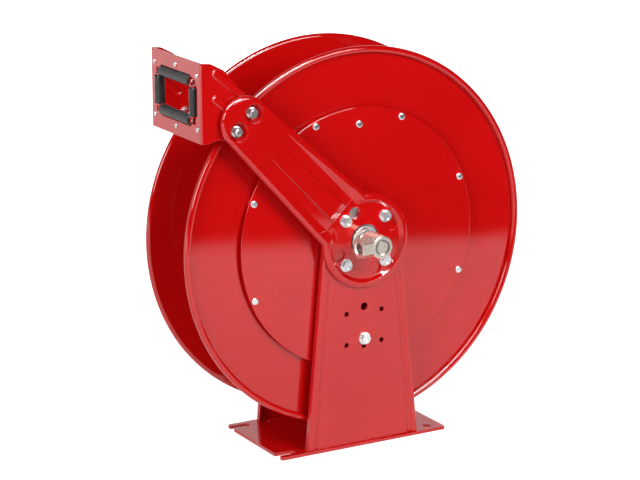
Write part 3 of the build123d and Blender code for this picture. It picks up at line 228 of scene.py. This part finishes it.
@dataclass(frozen=True)
class Plating:
    """Bright plated metal with faint handling marks."""

    name: str
    colour: tuple[float, float, float]
    shade: tuple[float, float, float]
    roughness: float
    grain_scale: float = 160.0
    grain_depth: float = 0.00002
    metal: float = 1.0
    cloud_share: float = 0.6
    wear_share: float = 2.2
    grain_share: float = 5.0

    def make(self) -> bpy.types.Material:
        """Make the finish.

        Returns:
            The finished material.
        """
        sheet = NodeSheet(self.name)
        sheet.shader.inputs["Metallic"].default_value = self.metal
        cloud = sheet.noise(self.grain_scale * self.cloud_share, 4.0, rough=0.6)
        sheet.link(sheet.ramp(cloud, self.shade, self.colour), sheet.shader.inputs["Base Color"])
        wear = sheet.noise(self.grain_scale * self.wear_share, 5.0, rough=0.65)
        sheet.link(sheet.spread(wear, self.roughness * 0.9, self.roughness * 1.15),
                   sheet.shader.inputs["Roughness"])
        if self.grain_depth:
            sheet.bump(sheet.noise(self.grain_scale * self.grain_share, 3.0), self.grain_depth, 0.5)
        return sheet.material


@dataclass(frozen=True)
class MouldedRubber:
    """Black moulded rubber or nylon with a dusty satin skin."""

    name: str
    colour: tuple[float, float, float] = (0.022, 0.022, 0.022)
    dust: tuple[float, float, float] = (0.075, 0.073, 0.070)
    roughness: float = 0.42
    smudge_scale: float = 65.0
    grain_scale: float = 900.0
    grain_depth: float = 0.00008

    def make(self) -> bpy.types.Material:
        """Make the finish.

        Returns:
            The finished material.
        """
        sheet = NodeSheet(self.name)
        smudge = sheet.noise(self.smudge_scale, 5.0, rough=0.6)
        sheet.link(sheet.ramp(smudge, self.colour, self.dust, 0.45, 0.8),
                   sheet.shader.inputs["Base Color"])
        sheet.link(sheet.spread(smudge, self.roughness * 0.85, self.roughness * 1.3),
                   sheet.shader.inputs["Roughness"])
        sheet.bump(sheet.noise(self.grain_scale, 3.0), self.grain_depth, 0.5)
        return sheet.material


class PaintShop:
    """Makes each finish once and puts it on the carried-over nodes and on new pieces."""

    def __init__(self) -> None:
        """Make a finish for each slot, a dull zinc for the roller rivets, and a darker rubber that paints
        shade on the upright rollers.
        """
        zinc = Plating("bright_zinc", (0.93, 0.94, 0.95), (0.78, 0.80, 0.83), 0.24, metal=0.88)
        nickel = Plating("warm_nickel", (0.86, 0.78, 0.68), (0.80, 0.72, 0.62), 0.26,
                         grain_scale=120.0, grain_depth=0.0, metal=0.72)
        steel = Plating("turned_steel", (0.66, 0.66, 0.66), (0.5, 0.5, 0.5), 0.3)
        spring = Plating("blued_spring_steel", (0.30, 0.31, 0.34), (0.2, 0.2, 0.22), 0.32)
        bronze = Plating("sintered_bronze", (0.62, 0.43, 0.22), (0.5, 0.33, 0.16), 0.4)
        self.finishes = {
            Paint.RED: PowderCoat().make(),
            Paint.ZINC: zinc.make(),
            Paint.NICKEL: nickel.make(),
            Paint.ROLLER: MouldedRubber("roller_rubber").make(),
            Paint.STEEL: steel.make(),
            Paint.SPRING: spring.make(),
            Paint.BRONZE: bronze.make(),
            Paint.SEAL: MouldedRubber("seal_rubber", dust=(0.03, 0.03, 0.03)).make(),
        }
        dull = Plating("dull_zinc", (0.62, 0.63, 0.62), (0.46, 0.47, 0.47), 0.3).make()
        # Painted shade: the upright rollers (roller_near, roller_far) get a darker copy of the roller
        # rubber than the level rollers.
        shaded_rubber = MouldedRubber("shaded_roller_rubber", (0.012, 0.012, 0.012), (0.024, 0.024, 0.023),
                              0.34).make()
        self.tones_and_painted_shade = {"roller_rivets": dull, "roller_near": shaded_rubber, "roller_far": shaded_rubber}

    def dress_frame(self) -> None:
        """Give every carried-over node the finish of its slot."""
        slots = {entry["node"]: entry["material_slot"] for entry in frame["record"]["subparts"]}
        for name, node in frame["nodes"].items():
            self.dress(node, Paint(slots[name]))

    def dress(self, piece: bpy.types.Object, paint: Paint) -> None:
        """Put one finish on a piece.

        Args:
            piece: the object to dress.
            paint: the finish's slot.
        """
        piece.data.materials.clear()
        piece.data.materials.append(self.tones_and_painted_shade.get(piece.name, self.finishes[paint]))


# ---------------------------------------------------------------- small fittings
class Bench:
    """Shapes pieces with mesh operators and hands them over finished."""

    EDGE_SHARE = 0.16
    MERGE = 0.000005

    def __init__(self, shop: PaintShop) -> None:
        """Keep the paint shop that dresses each piece.

        Args:
            shop: the maker of the finishes.
        """
        self.shop = shop

    def clear(self) -> None:
        """Leave nothing selected."""
        if bpy.context.object and bpy.context.object.mode != "OBJECT":
            bpy.ops.object.mode_set(mode="OBJECT")
        for item in bpy.context.selected_objects:
            item.select_set(False)

    def tube(self, name: str, radius: float, depth: float, wall: float, place: tuple[float, float, float],
             turn: tuple[float, float, float], sides: int = 32) -> bpy.types.Object:
        """Start a short tube with softened edges.

        Args:
            name: the piece's name.
            radius: its outer radius.
            depth: its length.
            wall: its wall.
            place: its centre.
            turn: its turn about X, Y and Z in degrees.
            sides: how many faces go round it.

        Returns:
            The tube, with its modifiers applied.
        """
        self.clear()
        bpy.ops.mesh.primitive_cylinder_add(
            vertices=sides, radius=radius, depth=depth, end_fill_type="NOTHING",
            location=place, rotation=[math.radians(angle) for angle in turn])
        piece = bpy.context.object
        piece.name = name
        shell = piece.modifiers.new("wall", "SOLIDIFY")
        shell.thickness = wall
        shell.offset = -1.0
        edge = piece.modifiers.new("edge", "BEVEL")
        edge.width = min(wall, depth) * self.EDGE_SHARE
        edge.segments = 2
        edge.limit_method = "ANGLE"
        self.apply(piece)
        return piece

    def apply(self, piece: bpy.types.Object) -> None:
        """Apply every modifier of a piece in order.

        Args:
            piece: the object to finish.
        """
        bpy.context.view_layer.objects.active = piece
        for modifier in list(piece.modifiers):
            bpy.ops.object.modifier_apply(modifier=modifier.name)

    def hand_over(self, piece: bpy.types.Object, body: str, paint: Paint, crease: float = 35.0) -> None:
        """Clean a piece, put its place in the mesh, and dress it.

        Args:
            piece: the finished shape.
            body: the CAD body it moves with.
            paint: its finish.
            crease: the angle in degrees above which an edge stays sharp.
        """
        self.clear()
        piece.select_set(True)
        bpy.context.view_layer.objects.active = piece
        bpy.ops.object.mode_set(mode="EDIT")
        bpy.ops.mesh.select_all(action="SELECT")
        bpy.ops.mesh.remove_doubles(threshold=self.MERGE)
        bpy.ops.mesh.normals_make_consistent(inside=False)
        bpy.ops.object.mode_set(mode="OBJECT")
        bpy.ops.object.transform_apply(location=True, rotation=True, scale=True)
        bpy.ops.object.shade_smooth_by_angle(angle=math.radians(crease))
        self.shop.dress(piece, paint)
        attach(piece, body)


@dataclass(frozen=True)
class RolledDiscs:
    """The two pressed discs, spun finely, with a joggle at the drum and a rolled bead at the rim.

    The seat and the web are distances of the sheet's middle from the reel's middle plane.
    """

    bench: Bench
    sheet: float = 0.0025
    seat: float = 0.05525
    joggle: tuple[float, float] = (0.1992, 0.2038)
    web: float = 0.0622
    bead: float = 0.0041
    near_hole: float = 0.192
    far_hole: float = 0.0127
    support: float = 0.001
    joggle_steps: int = 6
    bead_steps: int = 18
    bead_turn: float = 295.0
    crease: float = 40.0
    steps: int = 256

    def path(self, hole: float, rim: float) -> list[tuple[float, float]]:
        """Trace the middle of the sheet from the hole to the bead's lip.

        Args:
            hole: the radius of the middle hole.
            rim: the disc's outer radius.

        Returns:
            Radius and distance from the reel's middle plane, point by point.
        """
        start, end = self.joggle
        points = [(hole, self.seat), (start - self.support, self.seat)]
        for i in range(self.joggle_steps + 1):
            share = i / self.joggle_steps
            rise = (1 - math.cos(math.pi * share)) / 2
            points.append((start + (end - start) * share, self.seat + (self.web - self.seat) * rise))
        middle = rim - self.bead - self.sheet / 2
        points += [(end + self.support, self.web), (middle - self.support, self.web)]
        for i in range(self.bead_steps + 1):
            angle = math.radians(-90 + self.bead_turn * i / self.bead_steps)
            points.append((middle + self.bead * math.cos(angle),
                           self.web + self.bead * (1 + math.sin(angle))))
        return points

    def build(self) -> None:
        """Spin both discs in place of the plain ones."""
        for side, sign, hole in (("near", -1, self.near_hole), ("far", 1, self.far_hole)):
            low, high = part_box(f"disc_{side}")
            points = self.path(hole, high.x)
            self.bench.clear()
            bpy.ops.mesh.primitive_plane_add(size=0.001, location=(0, 0, (low.z + high.z) / 2))
            disc = bpy.context.object
            disc.name = f"rolled_disc_{side}"
            bpy.ops.object.mode_set(mode="EDIT")
            bpy.ops.mesh.select_all(action="SELECT")
            bpy.ops.mesh.merge(type="CENTER")
            bpy.ops.transform.translate(value=(points[0][0], sign * points[0][1], 0))
            for (r0, y0), (r1, y1) in zip(points, points[1:]):
                bpy.ops.mesh.extrude_vertices_move(
                    TRANSFORM_OT_translate={"value": (r1 - r0, sign * (y1 - y0), 0)})
            bpy.ops.object.mode_set(mode="OBJECT")
            spin = disc.modifiers.new("spin", "SCREW")
            spin.axis = "Y"
            spin.steps = self.steps
            spin.render_steps = self.steps
            spin.use_merge_vertices = True
            shell = disc.modifiers.new("sheet", "SOLIDIFY")
            shell.thickness = self.sheet
            shell.offset = 0.0
            self.bench.apply(disc)
            self.bench.hand_over(disc, "spool", Paint.RED, self.crease)
            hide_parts(f"disc_{side}")


@dataclass(frozen=True)
class RollerPlugs:
    """Black end plugs that carry each roller on its pin, with a castellated rim."""

    bench: Bench
    rim: float = 0.0078
    bore: float = 0.0032
    proud: float = 0.0009
    sunk: float = 0.0006
    notches: int = 10
    notch_depth: float = 0.0013
    outer_share: float = 0.97
    facing: float = 0.9

    def make_one(self, name: str, place: Vector, turn: tuple[float, float, float], body: str) -> None:
        """Make the plug of one roller end.

        Args:
            name: the piece's name.
            place: the centre of the plug.
            turn: its turn about X, Y and Z in degrees.
            body: the roller body it rides.
        """
        depth = self.proud + self.sunk
        root = self.rim - self.notch_depth
        plug = self.bench.tube(name, root, depth, root - self.bore, tuple(place), turn, self.notches * 2)
        self.bench.clear()
        plug.select_set(True)
        bpy.context.view_layer.objects.active = plug
        for face in plug.data.polygons:
            flat = Vector((face.center.x, face.center.y))
            step = round(math.atan2(flat.y, flat.x) / (math.pi / self.notches) - 0.5)
            outward = Vector((face.normal.x, face.normal.y)).dot(flat.normalized()) > self.facing
            face.select = outward and flat.length > root * self.outer_share and step % 2 == 0
        bpy.ops.object.mode_set(mode="EDIT")
        bpy.ops.mesh.select_mode(type="FACE")
        bpy.ops.mesh.extrude_region_shrink_fatten(TRANSFORM_OT_shrink_fatten={"value": self.notch_depth})
        self.bench.clear()
        self.bench.hand_over(plug, body, Paint.ROLLER)

    def build(self) -> None:
        """Make both plugs of all four rollers."""
        for side, axis, turn in (("top", 1, (90, 0, 0)), ("bottom", 1, (90, 0, 0)),
                                 ("near", 2, (0, 0, 0)), ("far", 2, (0, 0, 0))):
            low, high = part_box(f"roller_{side}")
            for end, sign in (("low", -1), ("high", 1)):
                place = (low + high) / 2
                face = low[axis] if sign < 0 else high[axis]
                place[axis] = face + sign * (self.proud - self.sunk) / 2
                self.make_one(f"roller_{side}_plug_{end}", place, turn, f"guide_roller_{side}")


@dataclass(frozen=True)
class InletThread:
    """The pipe thread cut inside the swivel's inlet."""

    bench: Bench
    bore: float = 0.0093
    setback: float = 0.0144
    pitch: float = 0.0018
    turns: int = 6
    lead_in: float = 0.0022
    ridge_share: float = 0.56
    steps: int = 40
    crease: float = 30.0

    def build(self) -> None:
        """Wind the thread's ridge along the bore."""
        low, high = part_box("swivel_body")
        centre = (low.x + self.lead_in, low.y + self.setback, (low.z + high.z) / 2)
        self.bench.clear()
        bpy.ops.mesh.primitive_circle_add(vertices=3, radius=self.pitch * self.ridge_share, location=centre,
                                          rotation=(math.radians(90), 0, 0))
        bpy.ops.object.transform_apply(location=False, rotation=True, scale=False)
        ridge = bpy.context.object
        ridge.name = "inlet_thread"
        bpy.ops.object.mode_set(mode="EDIT")
        bpy.ops.mesh.select_all(action="SELECT")
        bpy.ops.transform.translate(value=(0, 0, self.bore))
        bpy.ops.object.mode_set(mode="OBJECT")
        winding = ridge.modifiers.new("winding", "SCREW")
        winding.axis = "X"
        winding.screw_offset = self.pitch
        winding.iterations = self.turns
        winding.steps = self.steps
        winding.render_steps = self.steps
        self.bench.apply(ridge)
        bpy.ops.object.mode_set(mode="EDIT")
        bpy.ops.mesh.select_all(action="SELECT")
        bpy.ops.mesh.fill_holes(sides=4)
        self.bench.hand_over(ridge, "swivel", Paint.STEEL, self.crease)


@dataclass(frozen=True)
class RingLugs:
    """The two pierced lugs at the gap of each snap ring."""

    bench: Bench
    reach: float = 0.0166
    radius: float = 0.0021
    wall: float = 0.0012
    thick: float = 0.0011
    inset: float = 0.00005
    spread: float = 9.0
    middle: float = 52.0
    sides: int = 20

    def build(self) -> None:
        """Make the lugs of the near and far rings."""
        low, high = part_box("snap_rings")
        centre = (low.z + high.z) / 2
        deep = self.thick / 2
        for end, y in (("near", low.y + deep + self.inset), ("far", high.y - deep - self.inset)):
            for i, sign in enumerate((-1, 1)):
                angle = math.radians(self.middle + sign * self.spread)
                place = (self.reach * math.cos(angle), y, centre + self.reach * math.sin(angle))
                lug = self.bench.tube(f"ring_lug_{end}_{i}", self.radius, self.thick, self.wall, place,
                                      (90, 0, 0), self.sides)
                self.bench.hand_over(lug, "spool", Paint.SPRING)


@dataclass(frozen=True)
class FootWelds:
    """Rippled weld beads that join the pedestals' feet to the base plate."""

    bench: Bench
    bead: float = 0.0021
    step: float = 0.0019
    beads: int = 30
    offset: float = 0.056
    skin: float = 0.0006
    proud_share: float = 0.25
    lift_share: float = 0.3
    squash: tuple[float, float, float] = (0.8, 1.0, 0.9)
    lean: float = 14.0
    crease: float = 60.0

    def build(self) -> None:
        """Lay two beads inside each pedestal's foot."""
        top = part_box("base_plate")[1].z
        for side, sign in (("near", 1), ("far", -1)):
            low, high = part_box(f"pedestal_{side}")
            face = high.y if sign > 0 else low.y
            for end, middle in (("left", -self.offset), ("right", self.offset)):
                start = (middle - self.step * (self.beads - 1) / 2,
                         face + sign * self.bead * self.proud_share,
                         top + self.bead * self.lift_share)
                self.bench.clear()
                bpy.ops.mesh.primitive_uv_sphere_add(segments=14, ring_count=8, radius=self.bead,
                                                     location=start)
                weld = bpy.context.object
                weld.name = f"foot_weld_{side}_{end}"
                bpy.ops.object.mode_set(mode="EDIT")
                bpy.ops.mesh.select_all(action="SELECT")
                bpy.ops.transform.resize(value=self.squash)
                bpy.ops.transform.rotate(value=math.radians(self.lean), orient_axis="Z",
                                         center_override=tuple(weld.location))
                bpy.ops.object.mode_set(mode="OBJECT")
                row = weld.modifiers.new("row", "ARRAY")
                row.use_relative_offset = False
                row.use_constant_offset = True
                row.constant_offset_displace = (self.step, 0, 0)
                row.count = self.beads
                melt = weld.modifiers.new("melt", "REMESH")
                melt.mode = "VOXEL"
                melt.voxel_size = self.skin
                self.bench.apply(weld)
                self.bench.hand_over(weld, "frame", Paint.RED, self.crease)


# ---------------------------------------------------------------- studio
def combine(tree: bpy.types.NodeTree, operation: str, first: bpy.types.NodeSocket,
            second: bpy.types.NodeSocket) -> bpy.types.NodeSocket:
    """Join two values with one math node.

    Args:
        tree: the node tree to add to.
        operation: the math node's operation.
        first: one value.
        second: the other value.

    Returns:
        The result's socket.
    """
    node = tree.nodes.new("ShaderNodeMath")
    node.operation = operation
    tree.links.new(first, node.inputs[0])
    tree.links.new(second, node.inputs[1])
    return node.outputs[0]


def choose(tree: bpy.types.NodeTree, switch: bpy.types.NodeSocket, off: float,
           on: float) -> bpy.types.NodeSocket:
    """Give one value where a switch is 0 and another where it is 1.

    Args:
        tree: the node tree to add to.
        switch: the switch's socket.
        off: the value at 0.
        on: the value at 1.

    Returns:
        The chosen value's socket.
    """
    node = tree.nodes.new("ShaderNodeMapRange")
    node.inputs["To Min"].default_value = off
    node.inputs["To Max"].default_value = on
    tree.links.new(switch, node.inputs["Value"])
    return node.outputs["Result"]


def looking_rays(tree: bpy.types.NodeTree, path: bpy.types.Node) -> bpy.types.NodeSocket:
    """Tell the rays that show a surface from the rays that light one.

    Args:
        tree: the node tree to add to.
        path: the tree's light path node.

    Returns:
        A socket that is 1 for camera, mirror and see-through rays and 0 for the others.
    """
    seen = combine(tree, "MAXIMUM", path.outputs["Is Camera Ray"], path.outputs["Is Glossy Ray"])
    return combine(tree, "MAXIMUM", seen, path.outputs["Is Transmission Ray"])


@dataclass(frozen=True)
class Lamp:
    """One soft area lamp."""

    name: str
    place: tuple[float, float, float]
    target: tuple[float, float, float]
    size: tuple[float, float]
    power: float
    mirrored: bool = True
    diffuse: bool = True

    def hang(self) -> None:
        """Put the lamp in the studio."""
        data = bpy.data.lights.new(self.name, "AREA")
        data.shape = "RECTANGLE"
        data.size, data.size_y = self.size
        data.energy = self.power
        lamp = bpy.data.objects.new(self.name, data)
        bpy.context.scene.collection.objects.link(lamp)
        lamp.location = self.place
        lamp.rotation_euler = (Vector(self.target) - Vector(self.place)).to_track_quat("-Z", "Y").to_euler()
        lamp.visible_glossy = self.mirrored
        lamp.visible_diffuse = self.diffuse


SOFT_LAMPS = (
    Lamp("key_lamp", (1.4, -4.2, 3.0), (0, 0, 0.3), (2.4, 2.4), 164),
    Lamp("left_lamp", (-4.2, -1.6, 1.9), (0, 0, 0.35), (1.8, 1.8), 104),
    Lamp("back_lamp", (1.2, 4.2, 2.8), (0, 0, 0.3), (2.6, 2.6), 90, mirrored=False),
)


@dataclass(frozen=True)
class StripRow:
    """The row of long narrow lamps that draws the thin white lines on the rims."""

    count: int = 3
    first: float = -1.35
    step: float = 0.42
    middle: float = -1.1
    height: float = 2.7
    length: float = 3.2
    width: float = 0.14
    power: float = 72.0
    aim_shift: float = 0.3
    aim_height: float = 0.3

    def hang(self) -> None:
        """Hang every lamp of the row."""
        target = (self.middle + self.aim_shift, 0.0, self.aim_height)
        for i in range(self.count):
            place = (self.middle, self.first + i * self.step, self.height)
            Lamp(f"strip_lamp_{i}", place, target, (self.length, self.width), self.power,
                 diffuse=False).hang()


@dataclass(frozen=True)
class Studio:
    """Camera, pale floor with its dark cards, lamps and a plain white surround."""

    camera_place: tuple[float, float, float] = (-1.87316, -3.23483, 1.29456)
    camera_tilt: float = 75.3712
    camera_turn: float = -29.6820
    camera_roll: float = -0.1905
    lens: float = 135.328
    sensor: float = 36.0
    view_end: float = 60.0
    floor_half: float = 12.0
    floor_level: float = -0.0006
    apron_level: float = -0.0003
    apron_corner: tuple[float, float] = (0.359, -1.269)
    apron_turn: float = 21.1
    floor_glow: float = 0.43
    floor_white: float = 0.72
    shadow_reach: tuple[float, float] = (0.55, 1.6)
    mirror_reach: tuple[float, float] = (1.8, 3.6)
    ceiling: float = 4.6
    ceiling_back: float = 6.0
    side_reach: float = 4.5
    side_back: float = 0.4
    side_lift: float = 0.4
    sky_light: float = 0.2

    def place_camera(self) -> None:
        """Set the camera at the product view."""
        data = bpy.data.cameras.new("product_camera")
        data.lens = self.lens
        data.sensor_width = self.sensor
        data.clip_end = self.view_end
        camera = bpy.data.objects.new("product_camera", data)
        bpy.context.scene.collection.objects.link(camera)
        turn = Euler((math.radians(self.camera_tilt), 0.0, math.radians(self.camera_turn))).to_matrix()
        roll = Matrix.Rotation(math.radians(self.camera_roll), 3, "Z")
        camera.matrix_world = Matrix.Translation(self.camera_place) @ (turn @ roll).to_4x4()
        bpy.context.scene.camera = camera

    def floor_material(self) -> bpy.types.Material:
        """Make the floor: pale near the reel, where it keeps the shadow, and white farther out.

        Returns:
            The material.
        """
        material = bpy.data.materials.new("pale_floor")
        material.use_nodes = True
        tree = material.node_tree
        tree.nodes.clear()
        output = tree.nodes.new("ShaderNodeOutputMaterial")
        diffuse = tree.nodes.new("ShaderNodeBsdfDiffuse")
        diffuse.inputs["Color"].default_value = (0.8, 0.8, 0.8, 1.0)
        white = tree.nodes.new("ShaderNodeEmission")
        path = tree.nodes.new("ShaderNodeLightPath")
        place = tree.nodes.new("ShaderNodeTexCoord")
        length = tree.nodes.new("ShaderNodeVectorMath")
        length.operation = "LENGTH"
        tree.links.new(place.outputs["Object"], length.inputs[0])
        mirrored = path.outputs["Is Glossy Ray"]
        fade = tree.nodes.new("ShaderNodeMapRange")
        fade.inputs["To Max"].default_value = 1.0
        tree.links.new(length.outputs["Value"], fade.inputs["Value"])
        tree.links.new(choose(tree, mirrored, self.floor_white, self.floor_glow), fade.inputs["To Min"])
        for socket, seen_reach, mirrored_reach in zip(("From Min", "From Max"), self.shadow_reach,
                                                      self.mirror_reach):
            tree.links.new(choose(tree, mirrored, seen_reach, mirrored_reach), fade.inputs[socket])
        strength = combine(tree, "MULTIPLY", looking_rays(tree, path), fade.outputs["Result"])
        tree.links.new(strength, white.inputs["Strength"])
        both = tree.nodes.new("ShaderNodeAddShader")
        tree.links.new(diffuse.outputs[0], both.inputs[0])
        tree.links.new(white.outputs[0], both.inputs[1])
        tree.links.new(both.outputs[0], output.inputs["Surface"])
        return material

    def dark_material(self) -> bpy.types.Material:
        """Make the black cloth of the unlit part of the studio.

        Returns:
            The material.
        """
        material = bpy.data.materials.new("dark_studio")
        material.use_nodes = True
        shader = material.node_tree.nodes["Principled BSDF"]
        shader.inputs["Base Color"].default_value = (0.004, 0.004, 0.004, 1.0)
        shader.inputs["Roughness"].default_value = 1.0
        shader.inputs["Specular IOR Level"].default_value = 0.0
        return material

    def lay_plane(self, name: str, size: tuple[float, float], place: tuple[float, float, float],
                  tilt: tuple[float, float, float], material: bpy.types.Material) -> bpy.types.Object:
        """Lay one flat stage piece.

        Args:
            name: the piece's name.
            size: its length and width in metres.
            place: its centre.
            tilt: its turn about X, Y and Z in degrees.
            material: its material.

        Returns:
            The piece.
        """
        for item in bpy.context.selected_objects:
            item.select_set(False)
        bpy.ops.mesh.primitive_plane_add(size=1.0, location=place,
                                         rotation=[math.radians(angle) for angle in tilt])
        plane = bpy.context.object
        plane.name = name
        plane.scale = (*size, 1.0)
        bpy.ops.object.transform_apply(location=False, rotation=False, scale=True)
        plane.data.materials.append(material)
        return plane

    def lay_floor(self) -> None:
        """Lay the pale floor, and the dark studio that the gloss paint mirrors in front and above."""
        deep = self.floor_half
        wide = 2 * deep
        floor = self.lay_plane("floor", (wide, wide), (0, 0, self.floor_level), (0, 0, 0),
                               self.floor_material())
        cloth = self.dark_material()
        front, height, back = -deep / 2, self.ceiling, self.ceiling_back
        turn = math.radians(self.apron_turn)
        apron = (self.apron_corner[0] + math.sin(turn) * deep / 2,
                 self.apron_corner[1] - math.cos(turn) * deep / 2, self.apron_level)
        cards = [
            self.lay_plane("dark_floor", (wide, deep), apron, (0, 0, self.apron_turn), cloth),
            self.lay_plane("dark_front", (wide, height), (0, front, height / 2), (90, 0, 0), cloth),
            self.lay_plane("dark_ceiling", (wide, back - front), (0, (back + front) / 2, height),
                           (0, 0, 0), cloth),
        ]
        side_size = (height, self.side_back - front)
        for side in (-1, 1):
            place = (side * self.side_reach, (self.side_back + front) / 2, height / 2 + self.side_lift)
            cards.append(self.lay_plane(f"dark_side_{side}", side_size, place, (0, 90, 0), cloth))
        for card in cards:
            card.visible_camera = False
            card.visible_diffuse = False
            card.visible_shadow = False
            card.visible_transmission = False

    def light_world(self) -> None:
        """Make the surround: white to camera and mirror rays, soft grey as a light."""
        world = bpy.data.worlds.new("white_surround")
        bpy.context.scene.world = world
        world.use_nodes = True
        tree = world.node_tree
        tree.nodes.clear()
        output = tree.nodes.new("ShaderNodeOutputWorld")
        ground = tree.nodes.new("ShaderNodeBackground")
        path = tree.nodes.new("ShaderNodeLightPath")
        level = choose(tree, looking_rays(tree, path), self.sky_light, 1.0)
        tree.links.new(level, ground.inputs["Strength"])
        tree.links.new(ground.outputs[0], output.inputs["Surface"])

    def build(self) -> None:
        """Put the whole studio together."""
        self.place_camera()
        self.lay_floor()
        self.light_world()
        for light in (*SOFT_LAMPS, StripRow()):
            light.hang()
        bpy.context.scene.view_settings.view_transform = "Standard"
        log.info("studio ready")


def main() -> None:
    """Build the studio and dress the reel."""
    logging.basicConfig(level=logging.INFO)
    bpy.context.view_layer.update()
    Studio().build()
    shop = PaintShop()
    shop.dress_frame()
    bench = Bench(shop)
    for maker in (RolledDiscs, RollerPlugs, InletThread, RingLugs, FootWelds):
        maker(bench).build()


if __name__ == "__main__":
    main()
